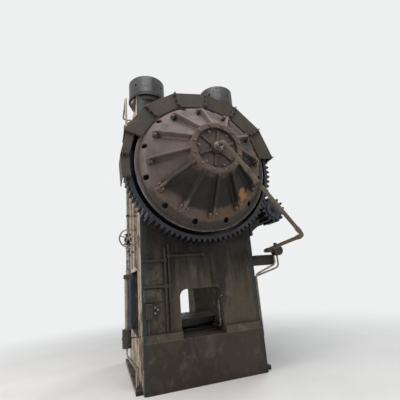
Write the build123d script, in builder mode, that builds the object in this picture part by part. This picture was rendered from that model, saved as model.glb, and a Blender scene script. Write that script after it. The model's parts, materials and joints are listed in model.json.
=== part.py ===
from build123d import *
import os
from math import atan, cos, pi, radians, sin, sqrt, tan

os.makedirs("parts", exist_ok=True)

# Mechanical hot forging press, in millimetres. +X is the gear side, -Y the operator's side, +Z is up.
# The origin is on the floor below the eccentric shaft, midway between the side faces.

# Frame and bed
frame_width = 2300
front_depth = 1040
rear_depth = 1100
frame_height = 5250
frame_corner = 50
bed_height = 720
foot_height = 113
foot_overhang = 60
well_width = 1280
crown_soffit = 4350
soffit_radius = 180
window_depth = 780
window_top = 1492
window_radius = 120
base_flange_reach = 110
base_flange_height = 70
anchor_spacing = 1800
anchor_hole_radius = 31

# Tie rods
tie_rod_offset = 30
tie_rod_inset = 250
tie_rod_radius = 150
tie_rod_clearance = 10
nut_radius = 365
nut_height = 375
nut_edge = 14
washer_radius = 375
washer_height = 60
seat_boss_edge = 10
seat_boss_height = 150
rod_end_height = 60
lower_nut_radius = 206
lower_nut_height = 230
lower_pocket_radius = 216
lower_pocket_depth = 400

# Eccentric shaft, connecting rod and slide
shaft_z = 3554
stroke = 280
journal_radius = 215
bush_wall = 25
bush_flange_radius = 300
bush_flange = 30
running_gap = 0.05
eccentric_radius = 360
rod_width = 440
rod_side_gap = 3
rod_length = 1214
rod_wall = 105
rod_ear_reach = 575
rod_ear_height = 75
rod_bolt_y = 528
rod_bolt_radius = 24
small_end_radius = 230
shank_top_width = 640
shank_bottom_width = 400
shank_pocket_depth = 90
pin_radius = 110
pin_length = 760
slide_bottom = 1920
slide_height = 1150
slide_width = 1120
slide_depth = 1120
slide_edge = 30
liner_wall = 15
liner_reach = 210
guide_gap = 0.3
gib_depth = 95
gib_reach = 230
gib_bottom = 1760
gib_top = 3110
ejector_radius = 25
ejector_head_radius = 60
ejector_head = 28
ejector_travel = 40
balance_y = 800
balance_rod_radius = 32
balance_lug_width = 320
balance_lug_height = 90
balance_cylinder_radius = 140
balance_cylinder_height = 600
balance_cylinder_wall = 28

# Die bed
bolster_width = 1120
bolster_depth = 1120
bolster_top = 940
wedge_width = 700
wedge_front = 50
wedge_slope = 12
wedge_travel = 60
face_gap = 0.3
slot_width = 36
slot_depth = 40
lower_ejector_radius = 35
lower_ejector_travel = 60

# Gear drive
gear_gap = 240
gear_width = 340
gear_teeth = 88
pinion_teeth = 14
module = 30
pressure_angle = 20
addendum = 0.8
dedendum = 1.0
backlash = 3
mesh_angle = -31.3
rim_wall = 50
web_x = 50
web_wall = 60
hub_radius = 340
drum_outer = 1175
drum_inner = 1020
gear_ribs = 8
drive_shaft_radius = 80
drive_bearing_radius = 135
drive_housing_radius = 190
drive_bracket_width = 240
pinion_overhang = 10

# Clutch
clutch_plate_inner = 520
clutch_plate_outer = 960
clutch_plate = 38
block_gap = 3
block_radius = 80
block_ring = 740
block_thickness = 50
block_count = 12
disc_wall = 30
disc_radius = 930
piston_travel = 4
piston_inner = 555
piston_outer = 905
cylinder_wall = 90
cylinder_back = 30
cylinder_flange = 20
clutch_seat_radius = 180
clutch_hub_radius = 300
clutch_hub_flange_radius = 440

# Ribbed clutch cover: distances along X from the gear's front face
cover_flange = 30
lip_width = 55
cover_wall = 30
cover_band = (175, 1005)
cover_shoulder = (235, 850)
cover_hub_back = 560
cover_hub_front = 754
cover_hub_radius = 417
cover_rim_width = 82
cover_recess = 84
rib_count = 12
rib_phase = 1.5
rib_wall = 40
rib_foot = (320, 950)
rib_toe = (230, 1010)
lug_width = 150
lug_inner = 890
lug_outer = 985
lug_x = 258
lug_bolt_spread = 3
vent_radius = 45
vent_ring = 1045
outer_bearing_radius = 260
outer_seat_radius = 150
cap_wall = 30
cap_boss_radius = 95
cap_boss_length = 70

# Brake
brake_radius = 640
brake_base = 60
brake_wall = 40
brake_depth = 290
brake_disc_radius = 570
brake_disc_wall = 30
brake_gap = 4
brake_piston_inner = 330
brake_piston_outer = 560
brake_cover_wall = 40
brake_travel = 3
brake_cap_radius = 215
brake_cap_length = 240

# Flywheel, belts and motor
flywheel_radius = 780
flywheel_width = 300
flywheel_gap = 250
flywheel_rim = 130
flywheel_hub = 180
pulley_radius = 190
motor_y = 1620
motor_z = 4800
motor_radius = 270
motor_length = 860
motor_base = 320
belt_count = 4
belt_width = 44
belt_pitch = 64
belt_thickness = 24
belt_seat = 12

# Gear guard
guard_start = 8
guard_pitch = 25
guard_count = 6
guard_inner = 1152
guard_outer = 1440
band_pitch = 17
band_count = 2
band_inner = 1262
band_outer = 1400
guard_gap = 60
guard_sheet = 8
guard_back = -50
guard_flange = 50
guard_joint = 0.006
stay_width = 70
stay_wall = 14

# Pipework and fittings
pipe_radius = 30
pipe_stand = 206
pipe_lead = 90
pipe_bend_back = 50
pipe_bend_drop = 1409
pipe_clamp_place = 820
union_body = 75
union_radius = 58
valve_stand = 40
valve_back = 490
valve_drop = 85
valve_pipe_radius = 17
side_pipe_radius = 21
side_pipe_insets = (475, 410)
side_pipe_tops = (2270, 2210)
side_branch_z = 2070
side_branch_end = 60
side_feed_z = (2000, 1570)
side_block = 60
plate_bottom = 1340
plate_top = 1535
box_bottom = 1085
box_top = 1310
riser_inset = 250
riser_stand = 185
riser_radius = 20
riser_rise = 110
hand_valve_z = 2420
hand_valve_half = 95
handwheel_radius = 152
manifold_top = 1810
manifold_height = 70
drain_top = 940
drain_height = 285
drain_radius = 72
bowl_radius = 38
tube_radius = 26
cover_top = 4430
cover_bottom = 1880
cover_sheet = 16
cover_overlap = 75
bolt_size = 24
bolt_head = 17

# Derived places
side_x = frame_width / 2
tie_rod_x = (side_x + well_width / 2) / 2 - tie_rod_offset
tie_rod_y = front_depth - tie_rod_inset
seat_boss_radius = side_x + foot_overhang - seat_boss_edge - tie_rod_x
frame_depth = front_depth + rear_depth
frame_middle = (rear_depth - front_depth) / 2
eccentricity = stroke / 2
throw_z = shaft_z + eccentricity
wrist_z = throw_z - rod_length
slide_top = slide_bottom + slide_height
main_bore = journal_radius + bush_wall
big_end_bore = eccentric_radius + bush_wall
gear_back = side_x + gear_gap
gear_front = gear_back + gear_width
pitch_radius = module * gear_teeth / 2
pinion_pitch_radius = module * pinion_teeth / 2
centre_distance = pitch_radius + pinion_pitch_radius
drive_y = centre_distance * cos(radians(mesh_angle))
drive_z = shaft_z + centre_distance * sin(radians(mesh_angle))
rim_inner = pitch_radius - module * dedendum - rim_wall
web_back = gear_back + web_x
web_front = web_back + web_wall
hub_front = gear_front + cover_hub_front
pipe_reach = hub_front + pipe_stand
pipe_bend_y = rear_depth + pipe_bend_back
pipe_bend_z = shaft_z - pipe_bend_drop
valve_x = side_x + valve_stand
valve_y = rear_depth + valve_back
valve_z = pipe_bend_z - valve_drop
riser_x = side_x - riser_inset
riser_y = -front_depth - riser_stand
cylinder_front = gear_front + 10


def across(x, y=0.0, z=shaft_z, turn=0.0):
    """Plane square to the shafts: its x runs along +Y, or is turned from there towards +Z."""
    heading = (0, cos(radians(turn)), sin(radians(turn)))
    return Plane(origin=(x, y, z), x_dir=heading, z_dir=(1, 0, 0))


def along(y=0.0, z=shaft_z):
    """Plane through a shaft's axis: its x runs along +X and its y along +Z."""
    return Plane(origin=(0, y, z), x_dir=(1, 0, 0), z_dir=(0, -1, 0))


def round_bar(x_from, x_to, radius, y=0.0, z=shaft_z, mode=Mode.ADD):
    """Cylinder that runs along X."""
    with BuildSketch(across(x_from, y, z)) as face:
        Circle(radius)
    extrude(face.sketch, amount=x_to - x_from, mode=mode)


def ring(x_from, x_to, outer, inner, y=0.0, z=shaft_z, mode=Mode.ADD):
    """Tube that runs along X."""
    with BuildSketch(across(x_from, y, z)) as face:
        Circle(outer)
        Circle(inner, mode=Mode.SUBTRACT)
    extrude(face.sketch, amount=x_to - x_from, mode=mode)


def block(x, y, z, mode=Mode.ADD):
    """Box between two X, two Y and two Z values."""
    size = (x[1] - x[0], y[1] - y[0], z[1] - z[0])
    with Locations(((x[0] + x[1]) / 2, (y[0] + y[1]) / 2, (z[0] + z[1]) / 2)):
        Box(*size, mode=mode)


def post(x, y, z_from, z_to, radius, mode=Mode.ADD):
    """Upright cylinder."""
    with Locations((x, y, z_from)):
        Cylinder(radius, z_to - z_from, align=(Align.CENTER, Align.CENTER, Align.MIN), mode=mode)


def turned(points, y=0.0, z=shaft_z, mode=Mode.ADD):
    """Body turned about a shaft's axis from its half section, given as (x, radius) points."""
    with BuildSketch(along(y, z)) as section:
        with BuildLine():
            Polyline(*points, close=True)
        make_face()
    revolve(section.sketch, axis=Axis((0, y, z), (1, 0, 0)), mode=mode)


def hex_head(plane, radius, height):
    """Hexagon bolt head that stands on a plane."""
    with BuildSketch(plane) as head:
        RegularPolygon(radius, 6)
    extrude(head.sketch, amount=height)


def pipe(points, radii, radius):
    """Pipe along straight runs joined by tangent arcs."""
    with BuildLine() as path:
        if len(points) == 2:
            Line(*points)
        else:
            FilletPolyline(*points, radius=radii)
    first = Vector(*points[0])
    with BuildSketch(Plane(origin=first, z_dir=Vector(*points[1]) - first)) as section:
        Circle(radius)
    sweep(section.sketch, path=path.line)


def on_circle(radius, angle, x=0.0, y=0.0, z=shaft_z):
    """Point on a circle about a shaft's axis, the angle measured from +Y towards +Z."""
    return (x, y + radius * cos(radians(angle)), z + radius * sin(radians(angle)))


corner_posts = [(sx * tie_rod_x, sy * tie_rod_y) for sx in (-1, 1) for sy in (-1, 1)]

# Bed: the lower casting, with the ledge round it, anchor flanges and pockets for the lower nuts
with BuildPart() as bed:
    with BuildSketch(Plane.XY) as bed_outline:
        with Locations((0, frame_middle)):
            RectangleRounded(frame_width + 2 * foot_overhang, frame_depth, frame_corner)
    extrude(amount=bed_height)
    with BuildSketch(Plane.XY) as base_outline:
        with Locations((0, frame_middle)):
            Rectangle(frame_width - 2 * foot_overhang, frame_depth + 2 * base_flange_reach)
    extrude(amount=base_flange_height)
    for x, y in corner_posts:
        post(x, y, 0, bed_height, tie_rod_radius + tie_rod_clearance, mode=Mode.SUBTRACT)
        post(x, y, 0, lower_pocket_depth, lower_pocket_radius, mode=Mode.SUBTRACT)
    for side in (-1, 1):
        for x in (-anchor_spacing / 2, -anchor_spacing / 6, anchor_spacing / 6, anchor_spacing / 2):
            y = frame_middle + side * (frame_depth + base_flange_reach) / 2
            post(x, y, 0, base_flange_height, anchor_hole_radius, mode=Mode.SUBTRACT)
    post(0, 0, bed_height / 2, bed_height, lower_ejector_radius + 0.1, mode=Mode.SUBTRACT)
bed.part.label = "bed"
export_step(bed.part, "parts/bed.step")

# Frame: one casting with the two uprights, the crown, the side windows and the bearing bores
with BuildPart() as press_frame:
    with BuildSketch(Plane.XY.offset(bed_height)) as frame_outline:
        with Locations((0, frame_middle)):
            RectangleRounded(frame_width, frame_depth, frame_corner)
    extrude(amount=frame_height - bed_height)
    with BuildSketch(Plane.XY.offset(bed_height)) as foot_outline:
        with Locations((0, frame_middle)):
            RectangleRounded(frame_width + 2 * foot_overhang, frame_depth, frame_corner)
    extrude(amount=foot_height)
    for x, y in corner_posts:
        with Locations((x, y, frame_height - seat_boss_height)):
            Cone(
                seat_boss_radius - seat_boss_height / 2,
                seat_boss_radius,
                seat_boss_height / 2,
                align=(Align.CENTER, Align.CENTER, Align.MIN),
            )
        post(x, y, frame_height - seat_boss_height / 2, frame_height, seat_boss_radius)
    with BuildSketch(Plane.XZ.offset(-rear_depth - seat_boss_radius)) as well_outline:
        with BuildLine():
            w = well_width / 2
            Polyline((-w, crown_soffit - soffit_radius), (-w, bed_height), (w, bed_height),
                     (w, crown_soffit - soffit_radius))
            RadiusArc((w, crown_soffit - soffit_radius), (w - soffit_radius, crown_soffit), -soffit_radius)
            Line((w - soffit_radius, crown_soffit), (-w + soffit_radius, crown_soffit))
            RadiusArc((-w + soffit_radius, crown_soffit), (-w, crown_soffit - soffit_radius), -soffit_radius)
        make_face()
    extrude(amount=frame_depth + 2 * seat_boss_radius, mode=Mode.SUBTRACT)
    with BuildSketch(across(-side_x - foot_overhang, 0, 0)) as window_outline:
        with BuildLine():
            w = window_depth / 2
            Polyline((-w, window_top - window_radius), (-w, bed_height), (w, bed_height),
                     (w, window_top - window_radius))
            RadiusArc((w, window_top - window_radius), (w - window_radius, window_top), -window_radius)
            Line((w - window_radius, window_top), (-w + window_radius, window_top))
            RadiusArc((-w + window_radius, window_top), (-w, window_top - window_radius), -window_radius)
        make_face()
    extrude(amount=frame_width + 2 * foot_overhang, mode=Mode.SUBTRACT)
    for x, y in corner_posts:
        post(x, y, bed_height, frame_height, tie_rod_radius + tie_rod_clearance, mode=Mode.SUBTRACT)
    for y in (-balance_y, balance_y):
        post(0, y, crown_soffit, frame_height, balance_rod_radius + 8, mode=Mode.SUBTRACT)
    round_bar(-side_x, side_x, main_bore, mode=Mode.SUBTRACT)
press_frame.part.label = "press_frame"
export_step(press_frame.part, "parts/press_frame.step")

# Four pre-tensioned tie rods with their washers and nuts
nut_bottom = frame_height + washer_height
with BuildPart() as tie_rods:
    for x, y in corner_posts:
        rod_bottom = lower_pocket_depth - lower_nut_height - rod_end_height
        post(x, y, rod_bottom, nut_bottom + nut_height + rod_end_height, tie_rod_radius)
    chamfer(tie_rods.edges().group_by(Axis.Z)[-1] + tie_rods.edges().group_by(Axis.Z)[0], 12)
tie_rods.part.label = "tie_rods"
export_step(tie_rods.part, "parts/tie_rods.step")

with BuildPart() as tie_rod_washers:
    for x, y in corner_posts:
        post(x, y, frame_height, nut_bottom, washer_radius)
        post(x, y, frame_height, nut_bottom, tie_rod_radius + tie_rod_clearance, mode=Mode.SUBTRACT)
tie_rod_washers.part.label = "tie_rod_washers"
export_step(tie_rod_washers.part, "parts/tie_rod_washers.step")

with BuildPart() as tie_rod_nuts:
    for x, y in corner_posts:
        with BuildSketch(Plane(origin=(x, y, nut_bottom), x_dir=(1, 0, 0), z_dir=(0, -1, 0))) as nut_section:
            with BuildLine():
                Polyline(
                    (tie_rod_radius, 0),
                    (nut_radius - nut_edge, 0),
                    (nut_radius, nut_edge),
                    (nut_radius, nut_height - nut_edge),
                    (nut_radius - nut_edge, nut_height),
                    (tie_rod_radius + 60, nut_height),
                    (tie_rod_radius, nut_height - 20),
                    close=True,
                )
            make_face()
        revolve(nut_section.sketch, axis=Axis((x, y, 0), (0, 0, 1)))
        for turn in range(0, 360, 90):
            heading = (cos(radians(turn + 45)), sin(radians(turn + 45)), 0)
            start = Vector(x, y, nut_bottom + nut_height / 2) + Vector(*heading) * (nut_radius - 60)
            with BuildSketch(Plane(origin=start, z_dir=heading)) as spanner_hole:
                Circle(26)
            extrude(spanner_hole.sketch, amount=80, mode=Mode.SUBTRACT)
        post(x, y, lower_pocket_depth - lower_nut_height, lower_pocket_depth, lower_nut_radius)
        post(x, y, lower_pocket_depth - lower_nut_height, lower_pocket_depth, tie_rod_radius,
             mode=Mode.SUBTRACT)
tie_rod_nuts.part.label = "tie_rod_nuts"
export_step(tie_rod_nuts.part, "parts/tie_rod_nuts.step")

# Main bearing bushes, flanged on the outside of each upright
with BuildPart() as main_bushes:
    for side in (-1, 1):
        inner_end = side * well_width / 2
        outer_end = side * side_x
        flange_end = outer_end + side * bush_flange
        turned([
            (inner_end, journal_radius + running_gap),
            (inner_end, main_bore),
            (outer_end, main_bore),
            (outer_end, bush_flange_radius),
            (flange_end, bush_flange_radius),
            (flange_end, journal_radius + running_gap),
        ])
main_bushes.part.label = "main_bushes"
export_step(main_bushes.part, "parts/main_bushes.step")

# Eccentric shaft: journals in the uprights, the eccentric between them, seats for clutch and brake
shaft_left = -side_x - brake_base - brake_depth - 120
shaft_right = gear_front + cover_hub_front - cover_recess - 10
hub_bearing_end = web_front + 80
throw_half = rod_width / 2 + rod_side_gap
with BuildPart() as eccentric_shaft:
    turned([
        (shaft_left, 0),
        (shaft_left, outer_seat_radius - 10),
        (shaft_left + 10, outer_seat_radius),
        (-side_x - bush_flange - 5, outer_seat_radius),
        (-side_x - bush_flange - 5, journal_radius),
        (side_x + bush_flange + 5, journal_radius),
        (side_x + bush_flange + 5, journal_radius - 15),
        (hub_bearing_end, journal_radius - 15),
        (hub_bearing_end, clutch_seat_radius),
        (web_front + 420, clutch_seat_radius),
        (web_front + 420, outer_seat_radius),
        (shaft_right - 10, outer_seat_radius),
        (shaft_right, outer_seat_radius - 10),
        (shaft_right, 0),
    ])
    round_bar(-throw_half, throw_half, eccentric_radius, z=throw_z)
eccentric_shaft.part.label = "eccentric_shaft"
export_step(eccentric_shaft.part, "parts/eccentric_shaft.step")

# Connecting rod, split across its big end
rod_half = rod_width / 2
big_end_radius = big_end_bore + rod_wall


def big_end_profile():
    """Outline of the big end with its bolting ears, about the eccentric's axis."""
    Circle(big_end_radius)
    Rectangle(2 * rod_ear_reach, 2 * rod_ear_height)


with BuildPart() as connecting_rod:
    with BuildSketch(across(-rod_half, 0, throw_z)) as rod_outline:
        big_end_profile()
        with Locations((0, -rod_length)):
            Circle(small_end_radius)
        with BuildLine():
            Polyline(
                (-shank_top_width / 2, 0),
                (shank_top_width / 2, 0),
                (shank_bottom_width / 2, -rod_length),
                (-shank_bottom_width / 2, -rod_length),
                close=True,
            )
        make_face()
        Circle(big_end_bore, mode=Mode.SUBTRACT)
        with Locations((0, -rod_length)):
            Circle(pin_radius + bush_wall, mode=Mode.SUBTRACT)
    extrude(amount=rod_width)
    block((-rod_half, rod_half), (-2 * rod_ear_reach, 2 * rod_ear_reach),
          (throw_z, throw_z + 2 * rod_ear_reach), mode=Mode.SUBTRACT)
    for side in (-1, 1):
        pocket_face = side * (rod_half - shank_pocket_depth)
        with BuildSketch(across(pocket_face, 0, throw_z)) as pocket_outline:
            with BuildLine():
                Polyline(
                    (-shank_top_width / 2 + 90, -big_end_radius - 60),
                    (shank_top_width / 2 - 90, -big_end_radius - 60),
                    (shank_bottom_width / 2 - 60, -rod_length + small_end_radius + 50),
                    (-shank_bottom_width / 2 + 60, -rod_length + small_end_radius + 50),
                    close=True,
                )
            make_face()
        extrude(pocket_outline.sketch, amount=side * shank_pocket_depth, mode=Mode.SUBTRACT)
    for x in (-rod_half / 2, rod_half / 2):
        for y in (-rod_bolt_y, rod_bolt_y):
            post(x, y, throw_z - rod_ear_height, throw_z, rod_bolt_radius + 1, mode=Mode.SUBTRACT)
connecting_rod.part.label = "connecting_rod"
export_step(connecting_rod.part, "parts/connecting_rod.step")

with BuildPart() as rod_cap:
    with BuildSketch(across(-rod_half, 0, throw_z)) as cap_outline:
        big_end_profile()
        Circle(big_end_bore, mode=Mode.SUBTRACT)
    extrude(amount=rod_width)
    block((-rod_half, rod_half), (-2 * rod_ear_reach, 2 * rod_ear_reach),
          (throw_z - 2 * rod_ear_reach, throw_z), mode=Mode.SUBTRACT)
    for x in (-rod_half / 2, rod_half / 2):
        for y in (-rod_bolt_y, rod_bolt_y):
            post(x, y, throw_z, throw_z + rod_ear_height, rod_bolt_radius + 1, mode=Mode.SUBTRACT)
rod_cap.part.label = "rod_cap"
export_step(rod_cap.part, "parts/rod_cap.step")

with BuildPart() as rod_bolts:
    for x in (-rod_half / 2, rod_half / 2):
        for y in (-rod_bolt_y, rod_bolt_y):
            post(x, y, throw_z - rod_ear_height - 30, throw_z + rod_ear_height + 30, rod_bolt_radius)
            for z in (throw_z - rod_ear_height - 30, throw_z + rod_ear_height):
                hex_head(Plane.XY.offset(z).move(Location((x, y, 0))), 1.7 * rod_bolt_radius, 30)
rod_bolts.part.label = "rod_bolts"
export_step(rod_bolts.part, "parts/rod_bolts.step")

with BuildPart() as rod_bushes:
    ring(-rod_half, rod_half, big_end_bore, eccentric_radius + running_gap, z=throw_z)
    ring(-rod_half, rod_half, pin_radius + bush_wall, pin_radius, z=wrist_z)
rod_bushes.part.label = "rod_bushes"
export_step(rod_bushes.part, "parts/rod_bushes.step")

with BuildPart() as wrist_pin:
    round_bar(-pin_length / 2, pin_length / 2, pin_radius, z=wrist_z)
    chamfer(wrist_pin.edges().filter_by(GeomType.CIRCLE), 6)
wrist_pin.part.label = "wrist_pin"
export_step(wrist_pin.part, "parts/wrist_pin.step")

# Slide: pocket for the rod's small end, cheeks with clear slots for the pin, lugs for the balance rods
swing = eccentricity
lag = 32
pocket_floor = wrist_z - small_end_radius - lag - 13
with BuildPart() as slide:
    with BuildSketch(Plane.XY.offset(slide_bottom)):
        Rectangle(slide_width, slide_depth)
    extrude(amount=slide_height)
    chamfer(slide.edges().group_by(Axis.Z)[0], slide_edge)
    for side in (-1, 1):
        lug_y = sorted((side * (slide_depth / 2 - 1), side * (balance_y + 80)))
        block((-balance_lug_width / 2, balance_lug_width / 2), lug_y,
              (slide_top - balance_lug_height, slide_top))
        post(0, side * balance_y, slide_top - balance_lug_height, slide_top, balance_rod_radius + 1,
             mode=Mode.SUBTRACT)
    pocket_y = small_end_radius + swing + 35
    block((-rod_half - 30, rod_half + 30), (-pocket_y, pocket_y), (pocket_floor, slide_top),
          mode=Mode.SUBTRACT)
    slot_y = pin_radius + swing + 15
    slot_z = pin_radius + lag + 8
    block((-pin_length / 2 - 20, pin_length / 2 + 20), (-slot_y, slot_y),
          (wrist_z - slot_z, wrist_z + slot_z), mode=Mode.SUBTRACT)
    post(0, 0, slide_bottom, pocket_floor, ejector_radius + 0.1, mode=Mode.SUBTRACT)
    post(0, 0, pocket_floor - ejector_travel - ejector_head - 17, pocket_floor,
         ejector_head_radius + 3, mode=Mode.SUBTRACT)
    for x in (-slide_width / 4, slide_width / 4):
        block((x - slot_width / 2, x + slot_width / 2), (-slide_depth / 2, slide_depth / 2),
              (slide_bottom, slide_bottom + slot_depth), mode=Mode.SUBTRACT)
slide.part.label = "slide"
export_step(slide.part, "parts/slide.step")

# Bronze liners on the slide's four upright corners
slide_x = slide_width / 2
slide_y = slide_depth / 2
with BuildPart() as slide_liners:
    for sx in (-1, 1):
        for sy in (-1, 1):
            outer_x = sx * (slide_x + liner_wall)
            outer_y = sy * (slide_y + liner_wall)
            with BuildSketch(Plane.XY.offset(slide_bottom + slide_edge)) as liner_outline:
                with BuildLine():
                    Polyline(
                        (sx * slide_x, sy * slide_y),
                        (sx * (slide_x - liner_reach), sy * slide_y),
                        (sx * (slide_x - liner_reach), outer_y),
                        (outer_x, outer_y),
                        (outer_x, sy * (slide_y - liner_reach)),
                        (sx * slide_x, sy * (slide_y - liner_reach)),
                        close=True,
                    )
                make_face()
            extrude(liner_outline.sketch, amount=slide_height - slide_edge)
slide_liners.part.label = "slide_liners"
export_step(slide_liners.part, "parts/slide_liners.step")

# Guide gibs on the uprights, one round each corner of the slide
gib_x = slide_x + liner_wall + guide_gap
gib_y = slide_y + liner_wall + guide_gap
with BuildPart() as guide_gibs:
    for sx in (-1, 1):
        for sy in (-1, 1):
            with BuildSketch(Plane.XY.offset(gib_bottom)) as gib_outline:
                with BuildLine():
                    Polyline(
                        (sx * gib_x, sy * gib_y),
                        (sx * (gib_x - gib_reach), sy * gib_y),
                        (sx * (gib_x - gib_reach), sy * (gib_y + gib_depth)),
                        (sx * well_width / 2, sy * (gib_y + gib_depth)),
                        (sx * well_width / 2, sy * (gib_y - gib_reach)),
                        (sx * gib_x, sy * (gib_y - gib_reach)),
                        close=True,
                    )
                make_face()
            extrude(gib_outline.sketch, amount=gib_top - gib_bottom)
guide_gibs.part.label = "guide_gibs"
export_step(guide_gibs.part, "parts/guide_gibs.step")

# Knock-out pin in the slide
with BuildPart() as upper_ejector:
    head_z = pocket_floor - ejector_head - 15
    post(0, 0, slide_bottom + 3, head_z, ejector_radius)
    post(0, 0, head_z, head_z + ejector_head, ejector_head_radius)
upper_ejector.part.label = "upper_ejector"
export_step(upper_ejector.part, "parts/upper_ejector.step")

# Counterbalance: two air cylinders on the crown, whose rods hang the slide
piston_z = frame_height + balance_cylinder_height - balance_cylinder_wall - 90
with BuildPart() as balance_cylinders:
    for y in (-balance_y, balance_y):
        bore = balance_cylinder_radius - balance_cylinder_wall
        top = frame_height + balance_cylinder_height
        post(0, y, frame_height, frame_height + 36, balance_cylinder_radius + 50)
        post(0, y, frame_height, top - 30, balance_cylinder_radius)
        post(0, y, top - 30, top, balance_cylinder_radius + 20)
        post(0, y, frame_height + 36, top - 30, bore, mode=Mode.SUBTRACT)
        post(0, y, frame_height, frame_height + 36, balance_rod_radius + running_gap, mode=Mode.SUBTRACT)
balance_cylinders.part.label = "balance_cylinders"
export_step(balance_cylinders.part, "parts/balance_cylinders.step")

with BuildPart() as balance_rods:
    for y in (-balance_y, balance_y):
        post(0, y, slide_top - balance_lug_height - 60, piston_z, balance_rod_radius)
        post(0, y, slide_top, slide_top + 40, balance_rod_radius + 25)
        post(0, y, slide_top - balance_lug_height - 40, slide_top - balance_lug_height,
             balance_rod_radius + 25)
        post(0, y, piston_z, piston_z + 60, balance_cylinder_radius - balance_cylinder_wall - running_gap)
balance_rods.part.label = "balance_rods"
export_step(balance_rods.part, "parts/balance_rods.step")

# Die bed: a wedge on the bed and the bolster above it
wedge_rise = bolster_depth / wedge_slope
with BuildPart() as bed_wedge:
    with BuildSketch(across(-wedge_width / 2, 0, bed_height)) as wedge_section:
        with BuildLine():
            Polyline(
                (-bolster_depth / 2, 0),
                (bolster_depth / 2, 0),
                (bolster_depth / 2, wedge_front + wedge_rise),
                (-bolster_depth / 2, wedge_front),
                close=True,
            )
        make_face()
    extrude(amount=wedge_width)
    slot_reach = lower_ejector_radius + wedge_travel + 12
    block((-lower_ejector_radius - 12, lower_ejector_radius + 12), (-slot_reach, slot_reach),
          (bed_height, bolster_top), mode=Mode.SUBTRACT)
    with BuildSketch(Plane.XZ.offset(bolster_depth / 2 - 1)) as puller_section:
        with Locations((0, bed_height + 28)):
            Circle(20)
    extrude(puller_section.sketch, amount=240)
bed_wedge.part.label = "bed_wedge"
export_step(bed_wedge.part, "parts/bed_wedge.step")

with BuildPart() as bolster:
    with BuildSketch(across(-bolster_width / 2, 0, bed_height)) as bolster_section:
        with BuildLine():
            Polyline(
                (-bolster_depth / 2, wedge_front + face_gap),
                (bolster_depth / 2, wedge_front + wedge_rise + face_gap),
                (bolster_depth / 2, bolster_top - bed_height),
                (-bolster_depth / 2, bolster_top - bed_height),
                close=True,
            )
        make_face()
    extrude(amount=bolster_width)
    for x in (-bolster_width / 4, bolster_width / 4):
        block((x - slot_width / 2, x + slot_width / 2), (-bolster_depth / 2, bolster_depth / 2),
              (bolster_top - slot_depth, bolster_top), mode=Mode.SUBTRACT)
    post(0, 0, bed_height, bolster_top, lower_ejector_radius + 0.1, mode=Mode.SUBTRACT)
bolster.part.label = "bolster"
export_step(bolster.part, "parts/bolster.step")

# Rails beside the wedge, which carry the bolster's edges and guide the wedge
rail_gap = 1
with BuildPart() as bolster_rails:
    for side in (-1, 1):
        x_from = side * (wedge_width / 2 + rail_gap)
        x_to = side * bolster_width / 2
        block(sorted((x_from, x_to)), (-bolster_depth / 2, bolster_depth / 2),
              (bed_height, bed_height + wedge_front - 8))
bolster_rails.part.label = "bolster_rails"
export_step(bolster_rails.part, "parts/bolster_rails.step")

with BuildPart() as lower_ejector:
    post(0, 0, bed_height / 2 + 2, bolster_top - 5, lower_ejector_radius)
lower_ejector.part.label = "lower_ejector"
export_step(lower_ejector.part, "parts/lower_ejector.step")


def gear_outline(teeth, phase):
    """Spur gear face with involute flanks; phase is the angle of one tooth's middle."""
    pitch = module * teeth / 2
    base = pitch * cos(radians(pressure_angle))
    tip = pitch + module * addendum
    root = pitch - module * dedendum
    half_tooth = (module * pi / 2 - backlash) / 2 / pitch
    involute_start = tan(radians(pressure_angle)) - radians(pressure_angle)

    def flank(radius):
        """Half of the tooth's angle at a radius."""
        roll = sqrt(max(0.0, (radius / base) ** 2 - 1))
        return half_tooth + involute_start - (roll - atan(roll))

    levels = [root, max(base, root + 6), pitch, tip]
    corners = []
    for tooth in range(teeth):
        middle = radians(phase) + tooth * 2 * pi / teeth
        rising = [(radius, middle - flank(radius)) for radius in levels]
        falling = [(radius, middle + flank(radius)) for radius in reversed(levels)]
        corners += [(radius * cos(angle), radius * sin(angle)) for radius, angle in rising + falling]
    with BuildLine() as outline:
        Polyline(*corners, close=True)
    make_face(outline.edges())


# Main gear: toothed rim, web and hub in one casting, with the clutch drum standing on the web
with BuildPart() as main_gear:
    with BuildSketch(across(gear_back)) as gear_face:
        gear_outline(gear_teeth, mesh_angle)
        Circle(rim_inner, mode=Mode.SUBTRACT)
    extrude(amount=gear_width)
    bearing_bore = hub_radius - 70
    turned([
        (gear_back - 40, bearing_bore),
        (gear_back - 40, hub_radius),
        (web_back, hub_radius + 30),
        (web_back, rim_inner + 5),
        (web_front, rim_inner + 5),
        (web_front, drum_outer),
        (gear_front, drum_outer),
        (gear_front, drum_inner),
        (web_front, drum_inner),
        (web_front, bearing_bore),
    ])
    for turn in range(gear_ribs):
        angle = turn * 360 / gear_ribs
        rib_plane = across(gear_back + 12, turn=angle)
        with BuildSketch(rib_plane) as web_rib:
            with Locations(((hub_radius + rim_inner) / 2, 0)):
                Rectangle(rim_inner - hub_radius + 10, 40)
        extrude(web_rib.sketch, amount=web_x - 12)
main_gear.part.label = "main_gear"
export_step(main_gear.part, "parts/main_gear.step")

with BuildPart() as gear_bearings:
    ring(gear_back - 40, web_front, bearing_bore, journal_radius - 15 + running_gap)
    ring(shaft_right - 110, shaft_right - 10, outer_bearing_radius, outer_seat_radius + running_gap)
gear_bearings.part.label = "gear_bearings"
export_step(gear_bearings.part, "parts/gear_bearings.step")

# Clutch, from the gear's web outwards: lining plate, driven disc with its blocks, piston, cylinder
disc_x = web_front + clutch_plate + block_gap
with BuildPart() as lining_plate:
    ring(web_front, web_front + clutch_plate, clutch_plate_outer, clutch_plate_inner)
lining_plate.part.label = "lining_plate"
export_step(lining_plate.part, "parts/lining_plate.step")

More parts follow.
